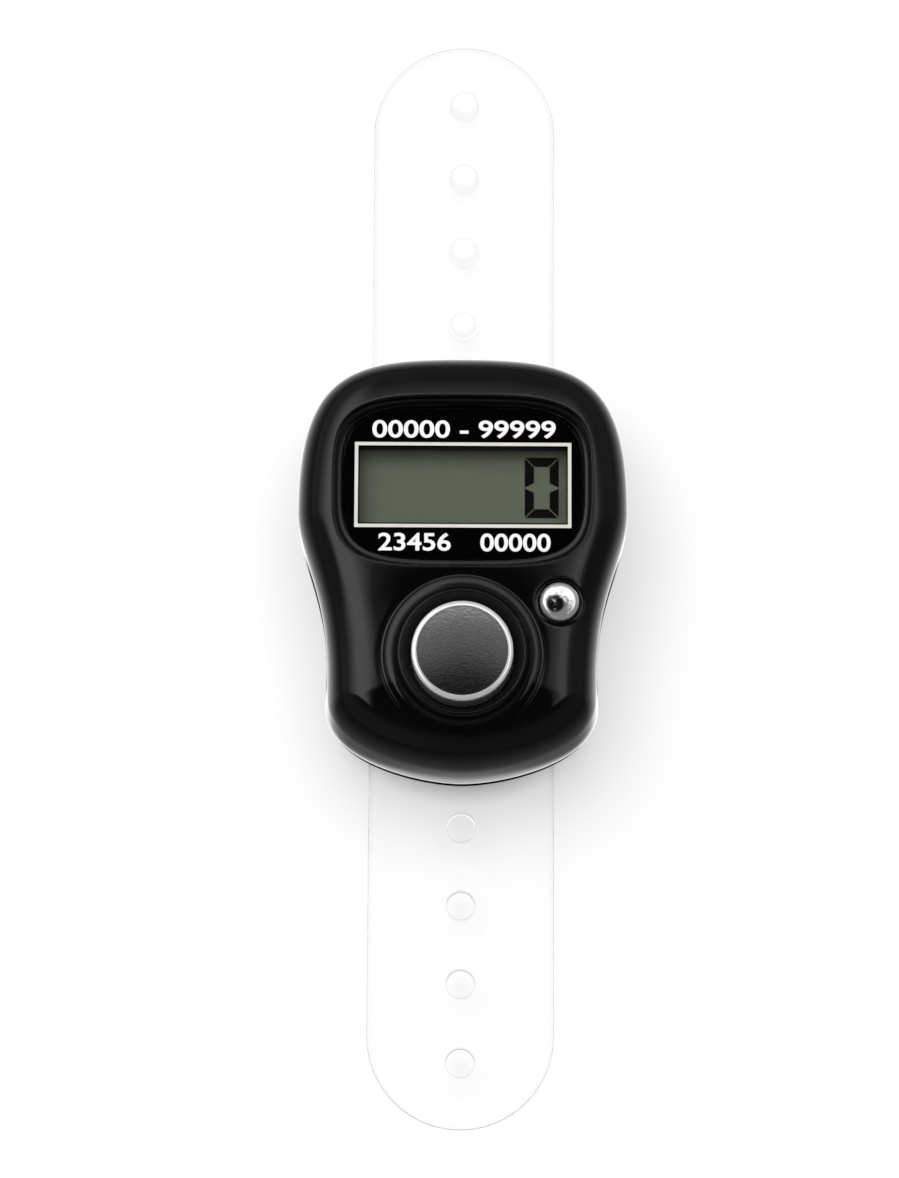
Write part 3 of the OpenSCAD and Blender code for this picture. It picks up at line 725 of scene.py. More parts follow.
# Radius, and share of the way from the deck up to the collar's rim
COLLAR_FOOT_R = 6.98
COLLAR_GROOVE = (7.34, 7.28, 7.22, 7.16, 7.1, 7.04)
COLLAR_FLANK = [
    (COLLAR_FOOT_R, 0.0), (6.92, 0.002), (6.8, 0.01), (6.65, 0.026), (6.5, 0.05), (6.35, 0.084),
    (6.22, 0.125), (6.1, 0.18), (6.0, 0.25), (5.93, 0.33), (5.87, 0.43), (5.82, 0.54), (5.78, 0.65),
    (5.74, 0.76), (5.7, 0.85), (5.65, 0.92), (5.59, 0.968), (5.52, 0.994),
]
# Radius and height from the rim down into the dish
COLLAR_DISH = [
    (5.45, 15.0), (5.4, 14.975), (5.36, 14.93), (5.33, 14.86), (5.3, 14.74), (5.24, 14.5),
    (5.12, 14.14), (4.94, 13.7), (4.72, 13.3), (BORE_R, 13.1), (BORE_R, 13.0),
]
# Turn of the rounded edge from which the deck's net takes over, outside the reset well
SHEET_FROM = math.radians(54)
LIP = 0.15
LENS_STEP = 0.78
POCKET = 0.1
SLOPE_W = 0.26
SLOPE_H = 0.05
ROLL_W = 0.08
ROLL_H = 0.1
LEDGE_EDGE = 0.3
LEDGE_START = 0.02
# Steps inwards and heights of the rounded foot of the window's wall and of the well's
WINDOW_FOOT = ((0.0, 0.06), (0.015, 0.015), (0.06, 0.0), (0.09, 0.0))
WELL_FOOT = ((0.0, 0.08), (0.025, 0.025), (0.08, 0.0))
EDGE_BREAK = 0.15
EDGE_BREAK_MID = 0.045
WALL_RINGS_Z = (6.2, 6.7, 7.2, 7.7, 8.2, 8.7)
CEILING_CURVE = ((1.9, 11.0), (2.35, 11.72), (2.8, CEILING_Z))
VIEW_CORNER = 0.3
COLLAR_STEPS = 160
WELL_STEPS = 72
DECK_NET = 0.22
CEILING_NET = 0.9
PILOT_R = 0.725
PILOT_TOP_Z = 11.8
# The upper posts end in the window's ledge, the slimmer lower ones in the ceiling
UPPER_POST_TOP_Z = LEDGE_TOP_Z - 0.1
LOW_POST_TOP_Z = CEILING_Z + 0.05
GUIDE_TOP_Z = CEILING_Z + 0.3


def front_case():
    skin = Skin()
    count_axis, reset_axis = (0, COUNT_Y), (RESET_X, RESET_Y)

    def lip(opening):
        """Rings that roll from the deck into an opening, whose plan comes grown by a width."""
        rings = []
        for turn in quarter(5):
            plan = opening(LIP * (1 - math.sin(turn)))
            rings.append(skin.ring(plan, deck_height(plan) - LIP * (1 - math.cos(turn))))
        return rings

    def hoop(r, z):
        return skin.ring(circle(r, count_axis, COLLAR_STEPS), z)

    outer = [skin.ring(inset(EDGE_BREAK), PART_Z), skin.ring(inset(EDGE_BREAK_MID), PART_Z + EDGE_BREAK_MID)]
    outer += [skin.ring(leaning(0.0, z), z) for z in (PART_Z + EDGE_BREAK, *WALL_RINGS_Z, ROUND_Z)]
    for a in np.linspace(0, SHEET_FROM, 18)[1:]:
        z = ROUND_Z + ROUND_H * math.sin(a)
        outer.append(skin.ring(leaning(ROUND_W * (1 - math.cos(a)), z), z))
    skin.wall(*outer)
    steps = [leaning(ROUND_W * (1 - math.cos(a)), DECK_EDGE_Z)
             for a in np.linspace(SHEET_FROM, ROUND_END, 9)[1:]]

    window = lip(lambda grow: window_loop(LENS_STEP + grow))
    ledge = [(LENS_STEP - step, LENS_TOP_Z + z) for step, z in WINDOW_FOOT]
    ledge.append((POCKET + ROLL_W + SLOPE_W + LEDGE_START, LENS_TOP_Z))
    # The ledge slopes a little and then rolls down into the gap round the lens
    ledge += [(POCKET + ROLL_W + SLOPE_W * share, LENS_TOP_Z - SLOPE_H * (1 - share)) for share in (1.0, 0.5)]
    for turn in quarter(6):
        ledge.append((POCKET + ROLL_W * (1 - math.sin(turn)),
                      LENS_TOP_Z - SLOPE_H - ROLL_H * (1 - math.cos(turn))))
    ledge.append((POCKET, LEDGE_TOP_Z))
    window += [skin.ring(window_loop(g), z) for g, z in ledge]
    opening = view_loop(BORDER_LINE, VIEW_CORNER, len(window[0]))
    window += [skin.ring(opening, LEDGE_TOP_Z), skin.ring(opening, LEDGE_LOW_Z)]
    window += [skin.ring(window_loop(LEDGE_EDGE), z) for z in (LEDGE_LOW_Z, CEILING_Z)]
    skin.wall(*window)

    collar = [hoop(r, deck_height(circle(r, count_axis, COLLAR_STEPS))) for r in COLLAR_GROOVE]
    foot = deck_height(circle(COLLAR_FOOT_R, count_axis, COLLAR_STEPS))
    collar += [hoop(r, foot + (RIM_Z - foot) * share) for r, share in COLLAR_FLANK]
    collar += [hoop(r, z) for r, z in COLLAR_DISH + [(BORE_R, CEILING_Z)]]
    skin.wall(*collar)

    well = lip(lambda grow: circle(WELL_R + grow, reset_axis, WELL_STEPS))
    for step, z in WELL_FOOT:
        well.append(skin.ring(circle(WELL_R - step, reset_axis, WELL_STEPS), WELL_Z + z))
    skin.wall(*well)
    skin.cap(well[-1])

    skin.sheet(outer[-1], [window[0], collar[0], well[0]], DECK_NET, deck_height, steps)

    inner = [skin.ring(inset(d), z) for d, z in ((WALL, PART_Z), (WALL, ROUND_Z), *CEILING_CURVE)]
    skin.wall(outer[0], *inner)
    skin.sheet(inner[-1], [window[-1], collar[-1]], CEILING_NET, lambda plan: np.full(len(plan), CEILING_Z))
    posts = []
    for at in SCREW_PLACES:
        r, top = (BOSS_R, UPPER_POST_TOP_Z) if at[1] > 0 else (LOW_POST_R, LOW_POST_TOP_Z)
        posts.append(rod("post", r, at, BOARD_TOP, top))
    posts.append(rod("guide", GUIDE_R, reset_axis, GUIDE_Z, GUIDE_TOP_Z, WELL_STEPS))
    bores = [rod("pilot", PILOT_R, at, BOARD_TOP - 1, PILOT_TOP_Z) for at in SCREW_PLACES]
    bores.append(rod("reset_bore", RESET_BORE_R, reset_axis, GUIDE_Z - 1, WELL_Z + 1, WELL_STEPS))
    piece = carve(skin.piece("front_blank", None),
                  [("UNION", together("posts", posts)), ("DIFFERENCE", together("bores", bores))],
                  "front_case", GLOSS_BLACK)
    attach(piece, "case")
    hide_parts("front_shell")


front_case()


# Rear cover: rounded rear edge, strap channel with its bridge, lip, screw seats and cell wall

REAR_EDGE = [(2.6, 0.0), (1.75, 0.336), (0.94, 1.232), (0.31, 2.8), (0.1, PART_Z)]
CHANNEL_HALF = 8.55
CHANNEL_LOW = 1.2
CHANNEL_TOP = 2.9
BRIDGE_HALF = 11.0
FLOOR_Z = 4.1
LIP_INSET = 1.5
CAVITY_INSET = 2.2
LIP_TOP_Z = 6.6
PCB_Z = 7.75
HEAD_R = 1.4
HEAD_SEAT_Z = 4.0
SHANK_R = 0.8
CELL_Y = 2.0
CELL_WALL_R = 6.75
CELL_WALL_H = 2.4
CELL_ROOM_R = 6.0
LEG_GAP_X = 11.6
LEG_GAP_HALF = 1.6
CELL_STEPS = 72
REAR_ROUND = 0.9
REAR_FLAT = 0.25
RIM_FLAT = 0.4
MOUTH_RISE = 0.5
# How far the cell's wall is rooted in the floor
WALL_ROOT = 0.3
BOSS_FROM_Z = CHANNEL_TOP + 0.2
# Depth by which a cutting tool runs past the face that it cuts
PAST = 1.0


def rear_cover():
    curve = even(soften(REAR_EDGE, REAR_ROUND, 8), 22, closed=False)
    skin = Skin()
    skin.closed([skin.ring(inset(d), z)
                 for d, z in ((REAR_EDGE[0][0] + REAR_FLAT, 0.0), *curve, (RIM_FLAT, PART_Z))])
    across, room_z = (-CHANNEL_HALF, CHANNEL_HALF), (FLOOR_Z, FLOOR_Z + CELL_WALL_H + PAST)
    mouth_z = (-PAST, CHANNEL_LOW + MOUTH_RISE)
    tools = [
        ("UNION", prism("cover_lip", inset(LIP_INSET), FLOOR_Z, LIP_TOP_Z)),
        ("DIFFERENCE", prism("cover_cavity", inset(CAVITY_INSET), FLOOR_Z, LIP_TOP_Z + PAST)),
        ("DIFFERENCE", slab("channel", across, (-CASE_L, CASE_L), (CHANNEL_LOW, CHANNEL_TOP))),
        ("DIFFERENCE", slab("mouth_upper", across, (BRIDGE_HALF, CASE_L), mouth_z)),
        ("DIFFERENCE", slab("mouth_lower", across, (-CASE_L, -BRIDGE_HALF), mouth_z)),
        ("UNION", rod("cell_wall", CELL_WALL_R, (0, CELL_Y), FLOOR_Z - WALL_ROOT, FLOOR_Z + CELL_WALL_H,
                      CELL_STEPS)),
        ("DIFFERENCE", rod("cell_room", CELL_ROOM_R, (0, CELL_Y), *room_z, CELL_STEPS)),
        ("DIFFERENCE", slab("leg_gap", (0, LEG_GAP_X), (CELL_Y - LEG_GAP_HALF, CELL_Y + LEG_GAP_HALF),
                            room_z)),
    ]
    for place in SCREW_PLACES:
        tools += [
            ("UNION", rod("boss", BOSS_R, place, BOSS_FROM_Z, PCB_Z)),
            ("DIFFERENCE", rod("head_seat", HEAD_R, place, CHANNEL_TOP - PAST, HEAD_SEAT_Z)),
            ("DIFFERENCE", rod("shank_way", SHANK_R, place, CHANNEL_TOP - PAST, PCB_Z + PAST)),
        ]
    piece = carve(skin.piece("cover_blank", None), tools, "rear_case", SATIN_BLACK, sharp=28.0)
    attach(piece, "case")
    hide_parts("rear_cover")


rear_cover()


# Window: clear lens with a bevelled edge, and plain numbers printed behind it

# Growth of the lens's outline and height over its lower or its upper face, from below to above
LENS_FOOT = ((-0.12, 0.0), (-0.04, 0.0), (0.0, 0.04))
LENS_BEVEL = ((0.0, -0.12), (-0.03, -0.04), (-0.09, 0.0), (-0.25, 0.0))


def window_lens():
    skin = Skin()
    edge = [(g, LENS_LOW_Z + z) for g, z in LENS_FOOT] + [(g, LENS_TOP_Z + z) for g, z in LENS_BEVEL]
    skin.closed([skin.ring(window_loop(g), z) for g, z in edge])
    piece = skin.piece("lens", LENS_CLEAR, sharp=50.0)
    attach(piece, "case")
    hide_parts("window_lens")


window_lens()

SILVER_LINE = 0.31


def border_line():
    """The silver line round the display opening, with a black inner edge that is a painted shadow line."""
    low, high = np.array(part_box("window_border")) / MM
    skin = Skin()
    section = ((0.0, low[2]), (0.0, high[2]), (SILVER_LINE, high[2]), (BORDER_LINE, high[2]),
               (BORDER_LINE, low[2]))
    rings = [skin.ring(rectangle(low, high, cut), z) for cut, z in section]
    skin.wall(*rings, rings[0])
    piece = skin.piece("border_line", PRINT_SILVER)
    half = (high - low)[:2] / 2 - SILVER_LINE
    # Painted shadow: the band inside the silver line takes the black print finish, a dark line where shade
    # falls at the opening's edge
    second_finish(piece, BLACK_PRINT_AND_SHADOW, lambda at: abs(at.x) < half[0] and abs(at.y - WINDOW_Y) < half[1])
    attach(piece, "case")
    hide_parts("window_border")


border_line()

LEGEND_LOW_Z = 12.205
LEGEND_T = 0.025
CAP_H = 1.64
BOLDER = 0.018
# Figures of each row, its left and right end and the height of its middle
LEGEND_ROWS = [
    ("00000 - 99999", -8.05, 8.2, 11.92), ("23456", -7.45, -1.05, 1.66), ("00000", 1.55, 7.75, 1.62),
]


def legend_line(words, left, right, middle_y):
    """A row of printed figures, set to run from left to right, as a thin flat mesh."""
    curve = bpy.data.curves.new("figures", "FONT")
    curve.body = words
    curve.size = 1.0
    curve.offset = BOLDER
    curve.resolution_u = 6
    mesh = mesh_of(put("figures", curve))
    flat = np.array([v.co for v in mesh.vertices])
    low, high = flat.min(0), flat.max(0)
    size = ((right - left) / (high[0] - low[0]), CAP_H / (high[1] - low[1]))
    bm = bmesh.new()
    bm.from_mesh(mesh)
    for v in bm.verts:
        v.co = Vector(((left + (v.co.x - low[0]) * size[0]) * MM,
                       (middle_y + (v.co.y - low[1]) * size[1] - CAP_H / 2) * MM, LEGEND_LOW_Z * MM))
    bmesh.ops.remove_doubles(bm, verts=bm.verts, dist=WELD)
    grown = bmesh.ops.extrude_face_region(bm, geom=bm.faces[:])
    for v in grown["geom"]:
        if isinstance(v, bmesh.types.BMVert):
            v.co.z += LEGEND_T * MM
    bm.to_mesh(mesh)
    bm.free()
    return mesh


def legend():
    rows = [legend_line(*row) for row in LEGEND_ROWS]
    piece = settle("legend_figures", joined("legend", rows), PRINT_WHITE)
    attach(piece, "case")


legend()


# Display plates with ground edges, each a glass and the film on its outer side

PLATE_BEVEL = 0.08
PLATE_GAP = 0.012


def display_plate(name, glass, film, finish):
    """A plate with bevelled edges, a hair thinner than the two nodes it stands for."""
    boxes = np.array([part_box(glass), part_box(film)]) / MM
    low, high = boxes[0]
    low[2] = boxes[:, 0, 2].min() + PLATE_GAP
    high[2] = boxes[:, 1, 2].max() - PLATE_GAP
    skin = Skin()
    edge = ((PLATE_BEVEL, low[2]), (0.0, low[2] + PLATE_BEVEL), (0.0, high[2] - PLATE_BEVEL),
            (PLATE_BEVEL, high[2]))
    skin.closed([skin.ring(rectangle(low, high, cut), z) for cut, z in edge])
    piece = skin.piece(name, finish, sharp=20.0)
    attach(piece, "case")
    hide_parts(glass, film)


display_plate("display_front_plate", "lcd_front_glass", "lcd_front_polariser", DISPLAY_FRONT)
display_plate("display_rear_plate", "lcd_rear_glass", "lcd_reflector", DISPLAY_BACK)


# Drop of resin over the chip

def resin_drop():
    """A flat drop that hangs from the board, with an edge that ran out unevenly."""
    roundness, unevenness = 1.3, 0.02
    low, high = np.array(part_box("chip_blob")) / MM
    centre, reach = (low + high) / 2, (high - low)[0] / 2
    profile = [(reach * math.sin(a), high[2] - (high - low)[2] * math.cos(a) ** roundness)
               for a in quarter(16)[:-1]]
    profile += [(reach, high[2]), (0, high[2])]
    piece = turned("resin_drop", profile, centre, RESIN)
    for vertex in piece.data.vertices:
        x, y = vertex.co.x - centre[0] * MM, vertex.co.y - centre[1] * MM
        turn = math.atan2(y, x)
        drawn_in = unevenness * (2 + math.sin(3 * turn + 0.6) + math.sin(5 * turn))
        vertex.co.x -= drawn_in * x
        vertex.co.y -= drawn_in * y
    piece.data.update()
    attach(piece, "case")
    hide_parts("chip_blob")


resin_drop()


# Buttons

def count_cap():
    pad_r, flange_r = 2.6, COUNT_R + 0.9
    pad_z, flange_low, flange_top, side_z = 11.1, 11.5, 12.2, 13.6
    low = [(0, pad_z), (pad_r, pad_z), (pad_r, flange_low), (flange_r, flange_low), (flange_r, flange_top),
           (COUNT_R, flange_top), (COUNT_R, side_z)]
    profile = [tuple(p) for p in soften(low, 0.08, 3)]
    bevel_w, bevel_h, fall = 0.46, 0.24, 0.115
    for a in quarter(13)[:-1]:
        profile.append((COUNT_R - bevel_w * (1 - math.cos(a)),
                        COUNT_TOP_Z - fall - bevel_h + bevel_h * math.sin(a)))
    flat_r = COUNT_R - bevel_w
    for r in np.linspace(flat_r, 0, 14):
        profile.append((r, COUNT_TOP_Z - fall * (r / flat_r) ** 2))
    piece = turned("count_cap", profile, (0, COUNT_Y), CHROME_RING, steps=160)
    second_finish(piece, CHROME_TOP,
                  lambda at: at.z > COUNT_TOP_Z - fall and math.hypot(at.x, at.y - COUNT_Y) < flat_r)
    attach(piece, "count_key")
    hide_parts("count_button")


def reset_pin():
    flange_r, flange_low, flange_top, side_z = 2.15, 9.9, 10.6, 13.0
    low = [(0, flange_low), (flange_r, flange_low), (flange_r, flange_top), (RESET_R, flange_top),
           (RESET_R, side_z)]
    profile = [tuple(p) for p in soften(low, 0.06, 3)]
    # A shallow cone with a round tip and a rolled edge
    cone_slope, edge_slope, tip, edge_from, edge_run = 0.18, 1.3, 0.3, 0.74, 0.3
    reach = np.linspace(0, 1, 60)
    slope = cone_slope * smooth(reach / tip) + edge_slope * smooth((reach - edge_from) / edge_run)
    fall = RESET_R * np.r_[0, np.cumsum((slope[1:] + slope[:-1]) / 2 * np.diff(reach))]
    dome_h = fall[-1]
    profile += [(RESET_R * r, RESET_TOP_Z - f) for r, f in zip(reach[::-1], fall[::-1])]
    piece = turned("reset_pin", profile, (RESET_X, RESET_Y), CHROME_DOME, steps=120)
    # The crown is worn: its middle leans a little and is dented
    off_axis, worn_r, worn_run, lean_y, sunk, dent = 0.2, 0.62 * RESET_R, 0.3 * RESET_R, 0.03, 0.03, 0.008
    for vertex in piece.data.vertices:
        if vertex.co.z > (RESET_TOP_Z - dome_h) * MM:
            x, y = vertex.co.x / MM - RESET_X + off_axis, vertex.co.y / MM - RESET_Y
            worn = float(smooth((worn_r - math.hypot(x, y)) / worn_run))
            dents = math.sin(8.5 * x + 2.9 * y) * math.sin(7.4 * y - 3.3 * x + 0.7)
            dents += 0.5 * math.sin(13.0 * x - 5.0 * y + 1.1) * math.sin(12.0 * y + 4.0 * x)
            vertex.co.z += worn * (lean_y * y - sunk + dent * dents) * MM
    piece.data.update()
    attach(piece, "reset_key")
    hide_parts("reset_button")


count_cap()
reset_pin()


# Rubber keys, which in the counter flatten as their buttons go down; here they keep their rest shape

def rubber_key(name, cad_node, centre, foot_r, pad_r, top_z, hollow_z):
    web = 0.35
    ring_w = 3 * web
    step_z = BOARD_TOP + web
    profile = [
        (0, hollow_z), (pad_r - web, hollow_z), (foot_r - ring_w, step_z), (foot_r - ring_w, BOARD_TOP),
        (foot_r, BOARD_TOP), (foot_r, step_z), (foot_r - web, step_z), (pad_r, hollow_z + web / 2),
        (pad_r, top_z), (0, top_z),
    ]
    piece = turned(name, soften(profile, 0.07, 3), centre, KEY_RUBBER, steps=64)
    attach(piece, "case")
    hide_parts(cad_node)
    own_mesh(piece)


rubber_key("count_key_rubber", "count_rubber", (0, COUNT_Y), 4.4, 2.6, 11.1, 9.95)
rubber_key("reset_key_rubber", "reset_rubber", (RESET_X, RESET_Y), 2.5, 1.3, 9.9, 9.35)


# Node trees for what repeats

def tree_with(name, inputs):
    """An empty node tree with the named inputs, and the sockets that hand them in."""
    tree = bpy.data.node_groups.new(name, "GeometryNodeTree")
    for label, kind in {"Geometry": "Geometry", **inputs}.items():
        tree.interface.new_socket(label, in_out="INPUT", socket_type="NodeSocket" + kind)
    tree.interface.new_socket("Geometry", in_out="OUTPUT", socket_type="NodeSocketGeometry")
    return tree, tree.nodes.new("NodeGroupInput").outputs


def copies(tree, points, fitting):
    """A copy of a fitting at each point."""
    source = node(tree, "ObjectInfo", Object=fitting)
    return node(tree, "InstanceOnPoints", points, Instance=source.outputs["Geometry"])


def hand_out(tree, geometry, finish):
    """Paints what a tree has made and hands it out."""
    paint = node(tree, "SetMaterial", Geometry=geometry, Material=finish)
    feed(tree, tree.nodes.new("NodeGroupOutput").inputs["Geometry"], paint)
    return tree


def row_tree():
    """Copies of a fitting in a row, welded into the openings of the plate that comes in."""
    tree, given = tree_with("row_of_fittings", {
        "Fitting": "Object", "Count": "Int", "Start": "Vector", "Pitch": "Vector", "Weld": "Float",
        "Finish": "Material"})
    line = node(tree, "MeshLine", Count=given["Count"], Start_Location=given["Start"], Offset=given["Pitch"])
    join = node(tree, "JoinGeometry", given["Geometry"])
    feed(tree, join.inputs["Geometry"], copies(tree, line, given["Fitting"]))
    weld = node(tree, "MergeByDistance", node(tree, "RealizeInstances", join), Distance=given["Weld"])
    return hand_out(tree, weld, given["Finish"])


def corner_tree():
    """A copy of a fitting at each corner of a rectangle."""
    tree, given = tree_with("fittings_at_corners", {
        "Fitting": "Object", "Span X": "Float", "Span Y": "Float", "Finish": "Material"})
    grid = node(tree, "MeshGrid", Vertices_X=2, Vertices_Y=2, Size_X=given["Span X"], Size_Y=given["Span Y"])
    real = node(tree, "RealizeInstances", copies(tree, grid, given["Fitting"]))
    return hand_out(tree, real, given["Finish"])


def grow(source, tree, values, name, finish, sharp=35.0):
    """Runs a node tree on an object and gives the result as a plain piece."""
    step = source.modifiers.new("grow", "NODES")
    step.node_group = tree
    for item in tree.interface.items_tree:
        if item.in_out == "INPUT" and item.name in values:
            step[item.identifier] = values[item.name]
    made = settle(name, mesh_of(source), finish, sharp)
    for value in values.values():
        if isinstance(value, bpy.types.Object):
            bpy.data.objects.remove(value)
    return made


CORNERS = corner_tree()
ROW = row_tree()


# Case screws

def screws():
    head_low, head_top, shank_top = 3.1, 4.0, 11.4
    thread_r, root_r, pitch = 0.7, 0.58, 0.45
    profile = [(0, head_low), (1.02, head_low), (1.3, head_low + 0.26), (1.3, head_top), (root_r, head_top)]
    for z in np.arange(head_top + 0.2, shank_top - 0.7, pitch):
        profile += [(root_r, z), (thread_r, z + pitch / 2), (root_r, z + pitch - 0.01)]
    profile += [(root_r, shank_top - 0.5), (0.2, shank_top - 0.05), (0, shank_top)]
    blank = turned("screw_blank", profile, (0, 0), None, steps=40)
    tools = [
        ("DIFFERENCE", slab("slot_a", (-0.95, 0.95), (-0.2, 0.2), (head_low - 0.5, head_low + 0.5))),
        ("DIFFERENCE", slab("slot_b", (-0.2, 0.2), (-0.95, 0.95), (head_low - 0.5, head_low + 0.5))),
    ]
    fitting = carve(blank, tools, "screw", None)
    piece = grow(put("screw_places", bpy.data.meshes.new("screw_places")), CORNERS,
                 {"Fitting": fitting, "Span X": 2 * SCREW_X * MM, "Span Y": 2 * SCREW_Y * MM,
                  "Finish": SCREW_STEEL}, "cross_screws", SCREW_STEEL, sharp=30.0)
    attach(piece, "case")
    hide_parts("case_screws")


screws()


# Strap: two clear lengths that meet under the bridge, one with pegs and one with holes

STRAP_EDGE = 0.57
STRAP_EDGE_W = 0.76
# Shares of painted shade on the upright faces of the rims and the fittings
PEG_RIM_PAINTED_SHADE = 0.27
HOLE_RIM_PAINTED_SHADE = 0.15
PEG_PAINTED_SHADE = 0.6
HOLE_PAINTED_SHADE = 1.0
# Steepness from which a face takes the full painted shade
RIM_STEEP = 0.1
FITTING_STEEP = 0.32
FITTING_STEPS = 56
PEG_FOOT = PEG_R + 0.32
HOLE_MOUTH = HOLE_R + 0.2
NET = 0.62


def strap_outline(tip, cut, sign):
    """A straight length from the middle of the case to a round tip, drawn in by cut."""
    half = STRAP_W / 2 - cut
    centre = tip - STRAP_W / 2
    a = np.linspace(0, math.pi, 121)
    end = np.stack([half * np.cos(a), centre + half * np.sin(a)], axis=1)
    line = np.vstack([[(half, cut)], end, [(-half, cut)]])
    plan = even(line, 260)
    return plan if sign > 0 else -plan


def strap_plate(name, tip, sign, places, top_r, low_r):
    """The plate with a round opening at each place, above and, where low_r is given, below."""
    skin = Skin()
    curve = [(STRAP_EDGE_W * (1 - math.sin(a)), STRAP_EDGE * (1 - math.cos(a)))
             for a in quarter(6)]
    rings = [(cut, STRAP_LOW_Z + up) for cut, up in curve]
    rings += [(cut, STRAP_TOP_Z - up) for cut, up in curve[::-1]]
    loops = [skin.ring(strap_outline(tip, cut, sign), z) for cut, z in rings]
    skin.wall(*loops)
    for loop, r, z in ((loops[0], low_r, STRAP_LOW_Z), (loops[-1], top_r, STRAP_TOP_Z)):
        holes = [skin.ring(circle(r, (0, y), FITTING_STEPS), z) for y in places] if r else []
        skin.sheet(loop, holes, NET, lambda plan, h=z: np.full(len(plan), h))
    return skin.piece(name, None)


def fitting_rings(profile):
    """A round fitting with open ends, on the Z axis."""
    skin = Skin()
    rings = [skin.ring(circle(r, (0, 0), FITTING_STEPS), z) for r, z in profile if r > POLE_R]
    skin.wall(*rings)
    if profile[-1][0] <= POLE_R:
        skin.pole(rings[-1], (0, 0, profile[-1][1]))
    return put("fitting", skin.mesh("fitting"))


def peg():
    z = STRAP_TOP_Z
    straight_h = 0.62
    profile = [(PEG_FOOT, z), (PEG_R + 0.2, z + 0.025), (PEG_R + 0.1, z + 0.085), (PEG_R + 0.03, z + 0.19),
               (PEG_R, z + 0.34), (PEG_R, z + 0.48), (PEG_R, z + straight_h)]
    for a in quarter(12)[1:-1]:
        profile.append((PEG_R * math.cos(a) ** 0.5, z + straight_h + (PEG_H - straight_h) * math.sin(a)))
    return fitting_rings(profile + [(0.0, z + PEG_H)])


def sleeve():
    low, top = STRAP_LOW_Z, STRAP_TOP_Z
    rim = [(HOLE_MOUTH, 0.0), (HOLE_R + 0.1, 0.03), (HOLE_R + 0.03, 0.09), (HOLE_R, 0.2)]
    profile = [(r, low + d) for r, d in rim] + [(r, top - d) for r, d in reversed(rim)]
    return fitting_rings(profile)


def strap_length(name, tip, sign, cad_nodes, fitting, top_r, low_r):
    first = tip - TIP_TO_PEG - (PEG_COUNT - 1) * PEG_PITCH
    places = [sign * (first + i * PEG_PITCH) for i in range(PEG_COUNT)]
    plate = strap_plate(name + "_plate", tip, sign, places, top_r, low_r)
    piece = grow(plate, ROW, {
        "Fitting": fitting, "Count": PEG_COUNT, "Start": (0.0, places[0] * MM, 0.0),
        "Pitch": (0.0, sign * PEG_PITCH * MM, 0.0), "Weld": 2e-6, "Finish": STRAP_CLEAR,
    }, name, STRAP_CLEAR, sharp=60.0)
    fitting_painted_shade, rim_painted_shade = (HOLE_PAINTED_SHADE, HOLE_RIM_PAINTED_SHADE) if low_r else (PEG_PAINTED_SHADE, PEG_RIM_PAINTED_SHADE)
    # Each face's painted shade, by its steepness, is kept in the steepness attribute
    steepness = piece.data.attributes.new(STEEPNESS, "FLOAT", "FACE")
    for face, value in zip(piece.data.polygons, steepness.data):
        x, y = face.center.x / MM, face.center.y / MM
        at_fitting = min(math.hypot(x, y - place) for place in places) < PEG_FOOT + 0.05
        share, full = (fitting_painted_shade, FITTING_STEEP) if at_fitting else (rim_painted_shade, RIM_STEEP)
        value.value = share * float(smooth((1 - abs(face.normal.z)) / full))
    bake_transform(piece)
    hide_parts(*cad_nodes)


strap_length("strap_with_pegs", UPPER_TIP, 1, ["strap_upper", "strap_middle"],
             peg(), PEG_FOOT, 0)
strap_length("strap_with_holes", LOWER_TIP, -1, ["strap_lower", "strap_middle"],
             sleeve(), HOLE_MOUTH, HOLE_MOUTH)


# Stage: pale floor, soft surroundings and one lamp

def height_ramp(tree, height, stops):
    """Brightness by a value, between stops of place and brightness."""
    made = node(tree, "ValToRGB", height)
    ramp = made.color_ramp
    while len(ramp.elements) < len(stops):
        ramp.elements.new(0.5)
    for element, (place, value) in zip(ramp.elements, stops):
        element.position = place
        element.color = (value, value, value, 1)
    return made


FLOOR_GLOW = 0.5
FLOOR_FADE = 0.1
# Reach in metres and brightness of the glow painted into what gloss mirrors of the floor, with a painted
# shadow under the case; in front of the case and elsewhere
FRONT_PAINTED_GLOW = [(0.0, 0.04), (0.0182, 0.04), (0.019, 1.4), (0.0213, 1.7), (0.0219, 1.4), (0.0228, 0.46),
              (0.0234, 0.34), (0.0258, 0.25), (0.0278, 0.22), (0.0368, 0.16), (0.055, 0.12), (0.1, 0.09)]
SIDE_PAINTED_GLOW = [(0.0, 0.04), (0.0182, 0.04), (0.019, 1.7), (0.0225, 1.5), (0.028, 1.1), (0.037, 0.64),
             (0.055, 0.28), (0.1, 0.14)]


